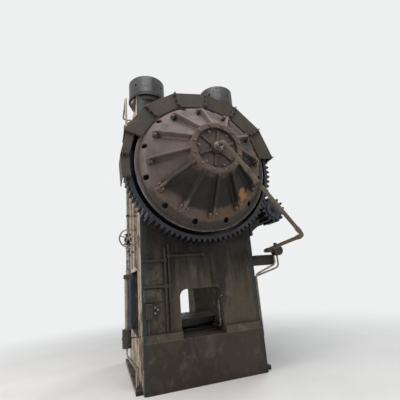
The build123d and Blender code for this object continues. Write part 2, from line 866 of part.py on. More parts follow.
disc_back = disc_x + (block_thickness - disc_wall) / 2
with BuildPart() as driven_disc:
    ring(disc_back, disc_back + disc_wall, disc_radius, journal_radius - 10)
    with Locations(across(disc_back)):
        with PolarLocations(block_ring, block_count):
            Cylinder(block_radius, 3 * disc_wall, mode=Mode.SUBTRACT)
driven_disc.part.label = "driven_disc"
export_step(driven_disc.part, "parts/driven_disc.step")

with BuildPart() as friction_blocks:
    with BuildSketch(across(disc_x)) as block_faces:
        with PolarLocations(block_ring, block_count):
            Circle(block_radius - 0.1)
    extrude(amount=block_thickness)
friction_blocks.part.label = "friction_blocks"
export_step(friction_blocks.part, "parts/friction_blocks.step")

with BuildPart() as clutch_hub:
    hub_back = disc_back + disc_wall
    turned([
        (hub_back, clutch_seat_radius),
        (hub_back, clutch_hub_flange_radius),
        (hub_back + 30, clutch_hub_flange_radius),
        (hub_back + 60, clutch_hub_radius),
        (web_front + 400, clutch_hub_radius),
        (web_front + 400, clutch_seat_radius),
    ])
clutch_hub.part.label = "clutch_hub"
export_step(clutch_hub.part, "parts/clutch_hub.step")

plate_back = disc_x + block_thickness + piston_travel + 0.5
cylinder_floor = cylinder_front + 30
with BuildPart() as clutch_piston:
    turned([
        (plate_back, clutch_plate_inner),
        (plate_back, clutch_plate_outer),
        (plate_back + 50, clutch_plate_outer),
        (plate_back + 50, piston_outer - running_gap),
        (cylinder_floor - 5, piston_outer - running_gap),
        (cylinder_floor - 5, piston_inner + running_gap),
        (plate_back + 50, piston_inner + running_gap),
        (plate_back + 50, clutch_plate_inner),
    ])
clutch_piston.part.label = "clutch_piston"
export_step(clutch_piston.part, "parts/clutch_piston.step")

with BuildPart() as clutch_cylinder:
    wall_back = plate_back + 50 + piston_travel + 12
    turned([
        (wall_back, piston_inner - cylinder_wall + 5),
        (wall_back, piston_inner),
        (cylinder_floor, piston_inner),
        (cylinder_floor, piston_outer),
        (wall_back, piston_outer),
        (wall_back, piston_outer + cylinder_wall),
        (gear_front, piston_outer + cylinder_wall),
        (gear_front, drum_outer),
        (gear_front + cylinder_flange, drum_outer),
        (gear_front + cylinder_flange, piston_outer + cylinder_wall),
        (cylinder_floor + cylinder_back, piston_outer + cylinder_wall),
        (cylinder_floor + cylinder_back, piston_inner - cylinder_wall + 5),
    ])
clutch_cylinder.part.label = "clutch_cylinder"
export_step(clutch_cylinder.part, "parts/clutch_cylinder.step")

# Ribbed clutch cover: flange with a raised lip, stepped cone, hub and twelve ribs ending in lugs
flange_back = gear_front + cylinder_flange
flange_front = flange_back + cover_flange
band_x = gear_front + cover_band[0]
band_r = cover_band[1]
shoulder_x = gear_front + cover_shoulder[0]
shoulder_r = cover_shoulder[1]
hub_back_x = gear_front + cover_hub_back
lip_inner = drum_outer - lip_width
bearing_face = hub_front - cover_recess
lug_face_x = gear_front + lug_x
with BuildPart() as clutch_cover:
    turned([
        (flange_back, drum_outer),
        (flange_front, drum_outer),
        (flange_front, lip_inner),
        (flange_front - 14, lip_inner),
        (flange_front - 14, lip_inner - 22),
        (flange_front + 22, lip_inner - 26),
        (band_x, band_r),
        (shoulder_x, shoulder_r),
        (hub_back_x + 40, cover_hub_radius + 12),
        (hub_back_x + 60, cover_hub_radius),
        (hub_front - 8, cover_hub_radius),
        (hub_front, cover_hub_radius - 8),
        (hub_front, cover_hub_radius - cover_rim_width),
        (bearing_face, cover_hub_radius - cover_rim_width),
        (bearing_face, outer_bearing_radius),
        (hub_back_x, outer_bearing_radius),
        (hub_back_x, cover_hub_radius - cover_wall),
        (shoulder_x - cover_wall, shoulder_r - 12),
        (band_x - cover_wall, band_r - 20),
        (flange_back, lip_inner - 80),
    ])
    for turn in range(rib_count):
        angle = rib_phase + turn * 360 / rib_count
        spoke = Plane(
            origin=on_circle(0, 0),
            x_dir=(1, 0, 0),
            z_dir=(0, sin(radians(angle)), -cos(radians(angle))),
        )
        with BuildSketch(spoke) as rib_section:
            with BuildLine():
                Polyline(
                    (hub_front - 14, cover_hub_radius - 12),
                    (gear_front + rib_foot[0], rib_foot[1]),
                    (gear_front + rib_toe[0], rib_toe[1]),
                    (band_x - 8, band_r),
                    (shoulder_x - 8, shoulder_r - 4),
                    (hub_back_x + 30, cover_hub_radius - 12),
                    close=True,
                )
            make_face()
        extrude(rib_section.sketch, amount=rib_wall / 2, both=True)
        lug_plane = across(shoulder_x - 10, turn=angle)
        with BuildSketch(lug_plane) as lug_face:
            with Locations(((lug_inner + lug_outer) / 2, 0)):
                RectangleRounded(lug_outer - lug_inner, lug_width, 24)
        extrude(lug_face.sketch, amount=lug_face_x - shoulder_x + 10)
        vent_plane = across(flange_back - 10, turn=angle + 180 / rib_count)
        with BuildSketch(vent_plane) as vent:
            with Locations((vent_ring, 0)):
                Circle(vent_radius)
        extrude(vent.sketch, amount=300, mode=Mode.SUBTRACT)
clutch_cover.part.label = "clutch_cover"
export_step(clutch_cover.part, "parts/clutch_cover.step")

# Cap that closes the cover's hub, ribbed like a wheel, with the boss of the rotary union
cap_front = bearing_face + cap_wall
cap_radius = cover_hub_radius - cover_rim_width
with BuildPart() as hub_cap:
    round_bar(bearing_face, cap_front, cap_radius)
    round_bar(cap_front, cap_front + cap_boss_length, cap_boss_radius)
    for turn in range(6):
        with BuildSketch(across(cap_front, turn=turn * 60 + 20)) as cap_rib:
            with Locations((cap_radius / 2, 0)):
                Rectangle(cap_radius - 70, 34)
        extrude(cap_rib.sketch, amount=26)
    round_bar(bearing_face, cap_front + cap_boss_length, 25 + running_gap, mode=Mode.SUBTRACT)
hub_cap.part.label = "hub_cap"
export_step(hub_cap.part, "parts/hub_cap.step")

# Bolts of the cover's lugs, of its hub's rim and of the cap
with BuildPart() as cover_bolts:
    for turn in range(rib_count):
        for spread in (-lug_bolt_spread, lug_bolt_spread):
            angle = rib_phase + turn * 360 / rib_count + spread
            point = on_circle((lug_inner + lug_outer) / 2, angle, lug_face_x)
            hex_head(across(*point), 22, 26)
        point = on_circle(cover_hub_radius - cover_rim_width / 2, turn * 30 + 15, hub_front)
        hex_head(across(*point), 20, 18)
    for turn in range(6):
        point = on_circle(cap_radius - 45, turn * 60 + 50, cap_front)
        hex_head(across(*point), 22, 20)
cover_bolts.part.label = "cover_bolts"
export_step(cover_bolts.part, "parts/cover_bolts.step")

# Rotary union: its nose runs in the cap's boss and its body is held by the air pipe
union_start = cap_front + cap_boss_length + 1
with BuildPart() as rotary_union:
    round_bar(bearing_face + 12, union_start, 25)
    round_bar(union_start, union_start + 22, union_radius + 14)
    round_bar(union_start + 22, union_start + union_body, union_radius)
    round_bar(union_start + union_body, pipe_reach - pipe_lead, union_radius - 14)
    round_bar(bearing_face + 12, pipe_reach - pipe_lead, 14, mode=Mode.SUBTRACT)
rotary_union.part.label = "rotary_union"
export_step(rotary_union.part, "parts/rotary_union.step")

# Drive pinion cut on the end of the drive shaft
flywheel_right = -side_x - flywheel_gap
flywheel_left = flywheel_right - flywheel_width
with BuildPart() as pinion_shaft:
    with BuildSketch(across(gear_back - pinion_overhang, drive_y, drive_z)) as pinion_face:
        gear_outline(pinion_teeth, mesh_angle + 180 + 180 / pinion_teeth)
    extrude(amount=gear_width + 2 * pinion_overhang)
    round_bar(flywheel_left - 30, gear_front + pinion_overhang, drive_shaft_radius, drive_y, drive_z)
    round_bar(gear_front + pinion_overhang, gear_front + 40, 150, drive_y, drive_z)
    round_bar(gear_front + 40, gear_front + 66, 62, drive_y, drive_z)
    hex_head(across(gear_front + 66, drive_y, drive_z), 44, 24)
pinion_shaft.part.label = "pinion_shaft"
export_step(pinion_shaft.part, "parts/pinion_shaft.step")

# Bearing brackets bolted to the frame's rear, with the two bearings of the drive shaft
with BuildPart() as drive_brackets:
    for side in (-1, 1):
        x_from = min(side * side_x, side * (side_x - drive_bracket_width))
        with BuildSketch(across(x_from, 0, 0)) as bracket_outline:
            with Locations((drive_y, drive_z)):
                Circle(drive_housing_radius)
            with Locations((rear_depth + 25, drive_z)):
                Rectangle(50, 4 * drive_housing_radius)
            with BuildLine():
                Polyline(
                    (rear_depth + 40, drive_z + 1.6 * drive_housing_radius),
                    (drive_y, drive_z + 0.98 * drive_housing_radius),
                    (drive_y, drive_z - 0.98 * drive_housing_radius),
                    (rear_depth + 40, drive_z - 1.6 * drive_housing_radius),
                    close=True,
                )
            make_face()
            with Locations((drive_y, drive_z)):
                Circle(drive_bearing_radius, mode=Mode.SUBTRACT)
        extrude(bracket_outline.sketch, amount=drive_bracket_width)
drive_brackets.part.label = "drive_brackets"
export_step(drive_brackets.part, "parts/drive_brackets.step")

with BuildPart() as drive_bearings:
    for side in (-1, 1):
        x_from = min(side * side_x, side * (side_x - drive_bracket_width))
        ring(x_from, x_from + drive_bracket_width, drive_bearing_radius, drive_shaft_radius + running_gap,
             drive_y, drive_z)
drive_bearings.part.label = "drive_bearings"
export_step(drive_bearings.part, "parts/drive_bearings.step")

# Flywheel on the shaft's other end, grooved for the belts
belt_xs = [
    (flywheel_left + flywheel_right) / 2 + (number - (belt_count - 1) / 2) * belt_pitch
    for number in range(belt_count)
]


def belt_grooves(radius, y, z):
    """Grooves round a wheel for the belts, a little wider and deeper than the belts sit."""
    for x in belt_xs:
        ring(x - belt_width / 2 - 1, x + belt_width / 2 + 1, radius + 5, radius - belt_seat - 0.6, y, z,
             mode=Mode.SUBTRACT)


with BuildPart() as flywheel:
    middle = (flywheel_left + flywheel_right) / 2
    turned([
        (flywheel_left, flywheel_radius - flywheel_rim),
        (flywheel_left, flywheel_radius),
        (flywheel_right, flywheel_radius),
        (flywheel_right, flywheel_radius - flywheel_rim),
        (middle + 35, flywheel_radius - flywheel_rim - 20),
        (middle + 35, flywheel_hub + 20),
        (flywheel_right, flywheel_hub),
        (flywheel_right, drive_shaft_radius),
        (flywheel_left, drive_shaft_radius),
        (flywheel_left, flywheel_hub),
        (middle - 35, flywheel_hub + 20),
        (middle - 35, flywheel_radius - flywheel_rim - 20),
    ], drive_y, drive_z)
    with Locations(across(middle, drive_y, drive_z)):
        with PolarLocations((flywheel_hub + flywheel_radius - flywheel_rim) / 2, 6):
            Cylinder(105, 200, mode=Mode.SUBTRACT)
    belt_grooves(flywheel_radius, drive_y, drive_z)
flywheel.part.label = "flywheel"
export_step(flywheel.part, "parts/flywheel.step")

# Motor on its bracket behind the crown, with its rotor and pulley
motor_right = flywheel_right + 60
with BuildPart() as motor:
    round_bar(motor_right, motor_right + motor_length, motor_radius, motor_y, motor_z)
    round_bar(motor_right + motor_length, motor_right + motor_length + 90, motor_radius - 20, motor_y, motor_z)
    block((motor_right + 80, motor_right + motor_length - 80),
          (motor_y - motor_radius, motor_y + motor_radius), (motor_z - motor_base, motor_z - motor_base + 40))
    for side in (-1, 1):
        block((motor_right + 100, motor_right + motor_length - 100),
              sorted((motor_y + side * 130, motor_y + side * 190)),
              (motor_z - motor_base + 20, motor_z - 120))
    block((motor_right + 300, motor_right + 560), (motor_y - 130, motor_y + 130),
          (motor_z + motor_radius - 40, motor_z + motor_radius + 90))
    for turn in range(18):
        angle = turn * 20 + 10
        if 60 < angle < 120 or 200 < angle < 340:
            continue
        with BuildSketch(across(motor_right + 60, motor_y, motor_z, angle)) as fin:
            with Locations((motor_radius + 10, 0)):
                Rectangle(44, 12)
        extrude(fin.sketch, amount=motor_length - 140)
    round_bar(motor_right, motor_right + 200, 46, motor_y, motor_z, mode=Mode.SUBTRACT)
motor.part.label = "motor"
export_step(motor.part, "parts/motor.step")

with BuildPart() as motor_pulley:
    round_bar(flywheel_left, flywheel_right, pulley_radius, motor_y, motor_z)
    belt_grooves(pulley_radius, motor_y, motor_z)
    round_bar(flywheel_right, motor_right + 190, 46 - running_gap, motor_y, motor_z)
    round_bar(flywheel_left, flywheel_left + 60, pulley_radius - 60, motor_y, motor_z, mode=Mode.SUBTRACT)
    round_bar(flywheel_left, flywheel_left + 70, 60, motor_y, motor_z)
motor_pulley.part.label = "motor_pulley"
export_step(motor_pulley.part, "parts/motor_pulley.step")

with BuildPart() as motor_bracket:
    shelf = motor_z - motor_base
    shelf_x = (motor_right + 20, motor_right + motor_length - 20)
    wall_x = (-side_x + 20, -well_width / 2 - cover_overlap - 10)
    block(shelf_x, (rear_depth + cover_sheet + 10, motor_y + motor_radius + 40), (shelf - 40, shelf))
    block(wall_x, (rear_depth, rear_depth + 36), (shelf - 560, shelf))
    for x in (wall_x[0], (wall_x[0] + wall_x[1]) / 2 - 18, wall_x[1] - 36):
        with BuildSketch(across(x, 0, 0)) as gusset:
            with BuildLine():
                Polyline(
                    (rear_depth + 36, shelf - 40),
                    (motor_y + motor_radius, shelf - 40),
                    (rear_depth + 36, shelf - 540),
                    close=True,
                )
            make_face()
        extrude(gusset.sketch, amount=36)
motor_bracket.part.label = "motor_bracket"
export_step(motor_bracket.part, "parts/motor_bracket.step")

with BuildPart() as v_belts:
    for x in belt_xs:
        with BuildSketch(across(x - belt_width / 2, 0, 0)) as belt_outer:
            with Locations((drive_y, drive_z)):
                Circle(flywheel_radius - belt_seat + belt_thickness)
            with Locations((motor_y, motor_z)):
                Circle(pulley_radius - belt_seat + belt_thickness)
            make_hull()
        with BuildSketch(across(x - belt_width / 2, 0, 0)) as belt_inner:
            with Locations((drive_y, drive_z)):
                Circle(flywheel_radius - belt_seat)
            with Locations((motor_y, motor_z)):
                Circle(pulley_radius - belt_seat)
            make_hull()
        extrude(belt_outer.sketch - belt_inner.sketch, amount=belt_width)
v_belts.part.label = "v_belts"
export_step(v_belts.part, "parts/v_belts.step")

# Brake on the shaft's free end
brake_face = -side_x - brake_base
brake_end = brake_face - brake_depth
disc_right = brake_face - brake_gap
disc_left = disc_right - brake_disc_wall
piston_right = disc_left - face_gap
with BuildPart() as brake_housing:
    turned([
        (-side_x, bush_flange_radius + 5),
        (-side_x, brake_radius),
        (brake_end, brake_radius),
        (brake_end, brake_radius - brake_wall),
        (brake_face, brake_radius - brake_wall),
        (brake_face, bush_flange_radius + 5),
    ])
brake_housing.part.label = "brake_housing"
export_step(brake_housing.part, "parts/brake_housing.step")

with BuildPart() as brake_disc:
    turned([
        (disc_right, outer_seat_radius),
        (disc_right, brake_disc_radius),
        (disc_left, brake_disc_radius),
        (disc_left, outer_seat_radius + 90),
        (disc_left - 160, outer_seat_radius + 70),
        (disc_left - 160, outer_seat_radius),
    ])
brake_disc.part.label = "brake_disc"
export_step(brake_disc.part, "parts/brake_disc.step")

with BuildPart() as brake_piston:
    ring(piston_right - 100, piston_right, brake_piston_outer - running_gap, brake_piston_inner + running_gap)
brake_piston.part.label = "brake_piston"
export_step(brake_piston.part, "parts/brake_piston.step")

with BuildPart() as brake_cover:
    inner_wall = brake_piston_inner - 45
    turned([
        (brake_end - brake_cover_wall, brake_cap_radius - 25),
        (brake_end - brake_cover_wall, brake_radius),
        (brake_end, brake_radius),
        (brake_end, brake_radius - brake_wall),
        (piston_right - 20, brake_radius - brake_wall),
        (piston_right - 20, brake_piston_outer),
        (piston_right - 130, brake_piston_outer),
        (piston_right - 130, brake_piston_inner),
        (piston_right - 20, brake_piston_inner),
        (piston_right - 20, inner_wall),
        (brake_end, inner_wall),
        (brake_end, brake_cap_radius - 25),
    ])
    for turn in range(8):
        rib_plane = across(brake_end - brake_cover_wall - 45, turn=turn * 45 + 22.5)
        with BuildSketch(rib_plane) as brake_rib:
            with Locations(((brake_cap_radius + brake_radius) / 2 + 10, 0)):
                Rectangle(brake_radius - brake_cap_radius - 60, 30)
        extrude(brake_rib.sketch, amount=45)
    cap_end = brake_end - brake_cover_wall - brake_cap_length
    ring(cap_end, brake_end - brake_cover_wall, brake_cap_radius, brake_cap_radius - 25)
    round_bar(cap_end, cap_end + 30, brake_cap_radius)
brake_cover.part.label = "brake_cover"
export_step(brake_cover.part, "parts/brake_cover.step")

# Gear guard: sheet segments round the top of the gear, each with a flange at both ends
guard_front = gear_front + guard_gap + guard_sheet
guard_rear = gear_back + guard_back
guard_end = guard_start + guard_pitch * guard_count
guard_starts = [guard_start + guard_pitch * n for n in range(guard_count)]
band_starts = [guard_end + band_pitch * n for n in range(band_count)]
guard_segments = [(low, guard_pitch, guard_inner, guard_outer) for low in guard_starts]
band_segments = [(low, band_pitch, band_inner, band_outer) for low in band_starts]


def guard_segment(low, high, inner, outer):
    """Outline of one guard segment between two angles."""
    corners = [(inner, low), (outer, low), (outer, high), (inner, high)]
    with BuildLine() as outline:
        Polyline(*[(r * cos(radians(angle)), r * sin(radians(angle))) for r, angle in corners], close=True)
    make_face(outline.edges())


with BuildPart() as gear_guard:
    for low, pitch, inner, outer in guard_segments + band_segments:
        high = low + pitch
        with BuildSketch(across(guard_rear)) as segment_outline:
            guard_segment(low + guard_joint, high - guard_joint, inner, outer)
        extrude(segment_outline.sketch, amount=guard_front - guard_rear)
        with BuildSketch(across(guard_rear)) as segment_hollow:
            guard_segment(low - 1, high + 1, inner - 40, outer - 1.2 * guard_sheet)
        extrude(segment_hollow.sketch, amount=guard_front - guard_rear - guard_sheet, mode=Mode.SUBTRACT)
        for angle in (low + 0.32, high - 0.32):
            with BuildSketch(across(guard_front - 1, turn=angle)) as end_flange:
                with Locations(((inner + outer) / 2, 0)):
                    Rectangle(outer - inner - 10, guard_sheet)
            extrude(end_flange.sketch, amount=guard_flange)
gear_guard.part.label = "gear_guard"
export_step(gear_guard.part, "parts/gear_guard.step")

with BuildPart() as guard_stays:
    for angle in guard_starts[2:]:
        with BuildSketch(across(side_x, turn=angle)) as stay_face:
            with Locations((guard_outer + stay_wall / 2 + 0.5, 0)):
                Rectangle(stay_wall, stay_width)
        extrude(stay_face.sketch, amount=guard_rear + 90 - side_x)
guard_stays.part.label = "guard_stays"
export_step(guard_stays.part, "parts/guard_stays.step")

# Air pipe: from the union down behind the gear, then back along the floor side of the drive
with BuildPart() as air_pipe:
    pipe([
        (pipe_reach - pipe_lead, 0, shaft_z),
        (pipe_reach, 0, shaft_z),
        (pipe_reach - 60, pipe_bend_y, pipe_bend_z),
        (valve_x, pipe_bend_y + 170, valve_z),
        (valve_x, valve_y - 80, valve_z),
    ], [60, 60, 80], pipe_radius)
air_pipe.part.label = "air_pipe"
export_step(air_pipe.part, "parts/air_pipe.step")

# Air valve behind the drive, on its bracket, with two pipes to the frame's rear
with BuildPart() as air_valve:
    round_bar(valve_x - 80, valve_x + 70, 80, valve_y, valve_z)
    round_bar(valve_x + 70, valve_x + 92, 98, valve_y, valve_z)
    post(valve_x, valve_y, valve_z + 70, valve_z + 150, 34)
    block((valve_x - 120, valve_x + 20), (rear_depth, valve_y + 90), (valve_z - 88, valve_z - 72))
    block((valve_x - 120, valve_x - 108), (rear_depth, valve_y), (valve_z - 260, valve_z - 88))
air_valve.part.label = "air_valve"
export_step(air_valve.part, "parts/air_valve.step")

with BuildPart() as valve_pipes:
    for place in (0, 1):
        y = valve_y - 30 + 70 * place
        x = side_x - 60 - 70 * place
        pipe([
            (valve_x - 55, y, valve_z - 88),
            (valve_x - 55, y, valve_z - 250 - 60 * place),
            (x, rear_depth + 38, valve_z - 420 - 40 * place),
            (x, rear_depth + 38, bed_height - 160),
        ], [90, 90], valve_pipe_radius)
valve_pipes.part.label = "valve_pipes"
export_step(valve_pipes.part, "parts/valve_pipes.step")

# Lubrication pipes on the gear side of the frame: two upright, one branch, two feeds from the front edge
pipe_x = side_x + side_pipe_radius + 14
line_ys = [inset - front_depth for inset in side_pipe_insets]
with BuildPart() as side_pipes:
    for y, top in zip(line_ys, side_pipe_tops):
        pipe([(pipe_x, y, top), (pipe_x, y, bed_height + foot_height + 20)], [], side_pipe_radius)
    pipe([(pipe_x, line_ys[0], side_branch_z), (pipe_x, side_branch_end, side_branch_z)], [], side_pipe_radius)
    for start, end, z in zip((10, 40), reversed(line_ys), side_feed_z):
        pipe([(pipe_x, start - front_depth, z), (pipe_x, end, z)], [], side_pipe_radius)
    blocks = [(line_ys[0], side_branch_z), (side_branch_end, side_branch_z), (line_ys[1], side_feed_z[0])]
    for y, z in blocks + [(y, side_feed_z[1]) for y in line_ys]:
        block((side_x, pipe_x + side_pipe_radius + 8), (y - side_block / 2, y + side_block / 2),
              (z - side_block / 2, z + side_block / 2))
side_pipes.part.label = "side_pipes"
export_step(side_pipes.part, "parts/side_pipes.step")

with BuildPart() as side_boxes:
    block((side_x, side_x + 18), (-front_depth + 40, -front_depth + 330), (plate_bottom, plate_top))
    for y in (-front_depth + 65, -front_depth + 305):
        for z in (plate_bottom + 25, plate_top - 25):
            round_bar(side_x + 18, side_x + 28, 13, y, z)
    block((side_x, side_x + 92), (-front_depth + 62, -front_depth + 162), (box_bottom, box_top))
    block((side_x, side_x + 40), (-front_depth + 162, -front_depth + 290), (box_bottom + 45, box_top - 25))
    for y, z in ((205, box_top - 60), (250, box_top - 95), (205, box_top - 145)):
        round_bar(side_x + 40, side_x + 62, 17, -front_depth + y, z)
        round_bar(side_x + 62, side_x + 82, 11, -front_depth + y, z)
    pipe([
        (side_x + 46, -front_depth + 112, box_bottom + 1),
        (side_x + 46, -front_depth + 112, bed_height + foot_height),
    ], [], 14)
side_boxes.part.label = "side_boxes"
export_step(side_boxes.part, "parts/side_boxes.step")

# Air line down the front corner: riser, hand valve and its wheel, manifold, filter bowl and drain
with BuildPart() as front_riser:
    riser_top = frame_height + riser_rise
    pipe([
        (0, -balance_y - balance_cylinder_radius - face_gap, riser_top),
        (0, riser_y, riser_top),
        (riser_x, riser_y, riser_top),
        (riser_x, riser_y, hand_valve_z + hand_valve_half),
    ], [90, 110], riser_radius)
front_riser.part.label = "front_riser"
export_step(front_riser.part, "parts/front_riser.step")

bowl_ys = (riser_y - tube_radius - 14, riser_y + bowl_radius - 13)
drain_y = riser_y - 37
with BuildPart() as hand_valve:
    with Locations((riser_x, riser_y, hand_valve_z)):
        Sphere(66)
    post(riser_x, riser_y, hand_valve_z - hand_valve_half, hand_valve_z + hand_valve_half, 34)
    for z in (hand_valve_z - hand_valve_half, hand_valve_z + hand_valve_half - 16):
        post(riser_x, riser_y, z, z + 16, 58)
    round_bar(riser_x, riser_x + 110, 32, riser_y, hand_valve_z)
    round_bar(riser_x + 96, riser_x + 122, 42, riser_y, hand_valve_z)
    round_bar(riser_x + 60, riser_x + 122, 12, riser_y, hand_valve_z, mode=Mode.SUBTRACT)
    post(riser_x, riser_y, manifold_top, hand_valve_z - hand_valve_half, 32)
    block((riser_x - 45, riser_x + 45), (bowl_ys[0] - tube_radius - 14, bowl_ys[1] + bowl_radius + 10),
          (manifold_top - manifold_height, manifold_top))
hand_valve.part.label = "hand_valve"
export_step(hand_valve.part, "parts/hand_valve.step")

with BuildPart() as handwheel:
    wheel_x = riser_x + 155
    with Locations(Location((wheel_x, riser_y, hand_valve_z), (0, 90, 0))):
        Torus(handwheel_radius, 12)
    round_bar(wheel_x - 18, wheel_x + 18, 27, riser_y, hand_valve_z)
    round_bar(riser_x + 62, wheel_x, 12 - running_gap, riser_y, hand_valve_z)
    for turn in range(5):
        heading = (0, cos(radians(turn * 72 + 90)), sin(radians(turn * 72 + 90)))
        with BuildSketch(Plane(origin=(wheel_x, riser_y, hand_valve_z), z_dir=heading)) as spoke_face:
            Circle(9)
        extrude(spoke_face.sketch, amount=handwheel_radius)
handwheel.part.label = "handwheel"
export_step(handwheel.part, "parts/handwheel.step")

with BuildPart() as filter_bowls:
    bowl_top = manifold_top - manifold_height
    drain_bottom = drain_top - drain_height
    post(riser_x, bowl_ys[0], drain_top, bowl_top, tube_radius)
    post(riser_x, bowl_ys[1], drain_top, bowl_top, bowl_radius)
    for z in (drain_top, bowl_top - 60):
        post(riser_x, bowl_ys[1], z, z + 60, bowl_radius + 7)
    post(riser_x, drain_y, drain_bottom, drain_top, drain_radius)
    for x, foot_y in ((riser_x - 22, -front_depth - 45), (riser_x + 26, -front_depth - 80)):
        pipe([
            (x, drain_y, drain_bottom + 5),
            (x, drain_y, drain_bottom - 110),
            (x, foot_y, drain_bottom - 330),
            (x, foot_y, base_flange_height),
        ], [70, 70], 13)
filter_bowls.part.label = "filter_bowls"
export_step(filter_bowls.part, "parts/filter_bowls.step")

# Supports: riser clips on the frame's front, and the stay of the slanted air pipe
with BuildPart() as pipe_supports:
    clip_low = hand_valve_z + 430
    clip_high = frame_height - 600
    clips = [(z, riser_y, riser_radius) for z in (clip_low, (clip_low + clip_high) / 2, clip_high)]
    for z, y, radius in clips + [(drain_top - drain_height / 2, drain_y, drain_radius)]:
        block((riser_x - 20, riser_x + 20), (y + radius + 4, -front_depth), (z - 5, z + 5))
        with Locations((riser_x, y, z - 16)):
            Cylinder(radius + 8, 32, align=(Align.CENTER, Align.CENTER, Align.MIN))
            Cylinder(radius + face_gap, 32, align=(Align.CENTER, Align.CENTER, Align.MIN), mode=Mode.SUBTRACT)
    slant = (Vector(pipe_reach - 60, pipe_bend_y, pipe_bend_z) - Vector(pipe_reach, 0, shaft_z)).normalized()
    hold = Vector(pipe_reach, 0, shaft_z) + slant * pipe_clamp_place
    with BuildSketch(Plane(origin=hold - slant * 30, z_dir=slant)) as clamp_face:
        Circle(pipe_radius + 18)
        Circle(pipe_radius + face_gap, mode=Mode.SUBTRACT)
    extrude(clamp_face.sketch, amount=60)
pipe_supports.part.label = "pipe_supports"
export_step(pipe_supports.part, "parts/pipe_supports.step")

# Bolted covers over the slide's well, front and rear
cover_half = well_width / 2 + cover_overlap
with BuildPart() as well_covers:
    block((-cover_half, cover_half), (-front_depth - cover_sheet, -front_depth), (cover_bottom, cover_top))
    for x in (-cover_half + 80, 0, cover_half - 80):
        block((x - 12, x + 12), (-front_depth - cover_sheet - 40, -front_depth - cover_sheet),
              (cover_bottom + 60, cover_top - 60))
    block((-cover_half, cover_half), (rear_depth, rear_depth + cover_sheet), (cover_bottom, cover_top))
well_covers.part.label = "well_covers"
export_step(well_covers.part, "parts/well_covers.step")

# Bolt heads of the well covers, drive brackets, motor bracket and brake
with BuildPart() as frame_bolts:
    for row in range(8):
        z = cover_bottom + 60 + row * (cover_top - cover_bottom - 120) / 7
        for x in (-cover_half + 34, cover_half - 34):
            hex_head(Plane(origin=(x, -front_depth - cover_sheet, z), z_dir=(0, -1, 0)), bolt_size, bolt_head)
            hex_head(Plane(origin=(x, rear_depth + cover_sheet, z), z_dir=(0, 1, 0)), bolt_size, bolt_head)
    for side in (-1, 1):
        for x in (side_x - 60, side_x - drive_bracket_width + 60):
            for z in (-0.9, 0.9):
                place = (side * x, rear_depth + 50, drive_z + z * 2 * drive_housing_radius)
                hex_head(Plane(origin=place, z_dir=(0, 1, 0)), bolt_size, bolt_head)
    for x in (wall_x[0] + 110, wall_x[1] - 110):
        for z in (shelf - 130, shelf - 480):
            hex_head(Plane(origin=(x, rear_depth + 36, z), z_dir=(0, 1, 0)), bolt_size, bolt_head)
    for turn in range(12):
        point = on_circle(brake_radius - 26, turn * 30, brake_end - brake_cover_wall)
        hex_head(Plane(origin=point, z_dir=(-1, 0, 0)), bolt_size, bolt_head)
frame_bolts.part.label = "frame_bolts"
export_step(frame_bolts.part, "parts/frame_bolts.step")
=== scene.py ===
import json
import math
import random

import bmesh
import bpy
from mathutils import Matrix, Vector


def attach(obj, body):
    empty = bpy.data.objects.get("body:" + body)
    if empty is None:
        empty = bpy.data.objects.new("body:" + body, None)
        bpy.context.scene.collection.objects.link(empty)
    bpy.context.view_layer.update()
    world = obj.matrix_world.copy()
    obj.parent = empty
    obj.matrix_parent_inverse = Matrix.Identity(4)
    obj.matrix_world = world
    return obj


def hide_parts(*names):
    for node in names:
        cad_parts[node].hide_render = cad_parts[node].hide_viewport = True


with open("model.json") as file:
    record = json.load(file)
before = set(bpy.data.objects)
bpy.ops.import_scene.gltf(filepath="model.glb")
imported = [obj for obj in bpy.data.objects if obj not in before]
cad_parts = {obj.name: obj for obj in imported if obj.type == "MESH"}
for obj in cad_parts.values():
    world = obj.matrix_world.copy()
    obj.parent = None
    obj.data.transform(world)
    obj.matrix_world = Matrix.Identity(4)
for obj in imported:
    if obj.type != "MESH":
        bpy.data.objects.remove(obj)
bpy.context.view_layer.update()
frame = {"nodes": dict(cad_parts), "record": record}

shaft = Vector((0.0, 0.0, 3.554))  # the eccentric shaft's axis runs along X through this point
bodyOf = {node: body for body, nodes in frame["record"]["behaviour"]["bodies"].items() for node in nodes}
dice = random.Random(7)  # turns the bolt heads


def newMaterial(name):
    material = bpy.data.materials.new(name)
    material.use_nodes = True
    material.node_tree.nodes.clear()
    return material


def plug(tree, socket, value):
    if isinstance(value, bpy.types.NodeSocket):
        tree.links.new(value, socket)
    else:
        socket.default_value = value


def addNode(tree, kind, settings=None, **inputs):
    made = tree.nodes.new(kind)
    for key, value in (settings or {}).items():
        setattr(made, key, value)
    for key, value in inputs.items():
        plug(tree, made.inputs[key.replace("_", " ")], value)
    return made


def colour(value):
    return (value[0], value[1], value[2], 1.0)


def noise(tree, place, scale, detail=5.0, rough=0.55, distortion=0.0, stretch=None):
    if stretch:
        mapping = addNode(tree, "ShaderNodeMapping", Vector=place)
        mapping.inputs["Scale"].default_value = stretch
        place = mapping.outputs["Vector"]
    made = addNode(tree, "ShaderNodeTexNoise", Vector=place, Scale=scale, Detail=detail, Roughness=rough,
                   Distortion=distortion)
    return made.outputs["Fac"]


def between(tree, value, low, high, outLow=0.0, outHigh=1.0):
    # eases from outLow to outHigh while the value goes from low to high
    settings = {"clamp": True, "interpolation_type": "SMOOTHSTEP"}
    made = addNode(tree, "ShaderNodeMapRange", settings, Value=value)
    for key, number in (("From Min", low), ("From Max", high), ("To Min", outLow), ("To Max", outHigh)):
        made.inputs[key].default_value = number
    return made.outputs["Result"]


def calc(tree, operation, first, second=0.0):
    made = addNode(tree, "ShaderNodeMath", {"operation": operation})
    plug(tree, made.inputs[0], first)
    plug(tree, made.inputs[1], second)
    return made.outputs[0]


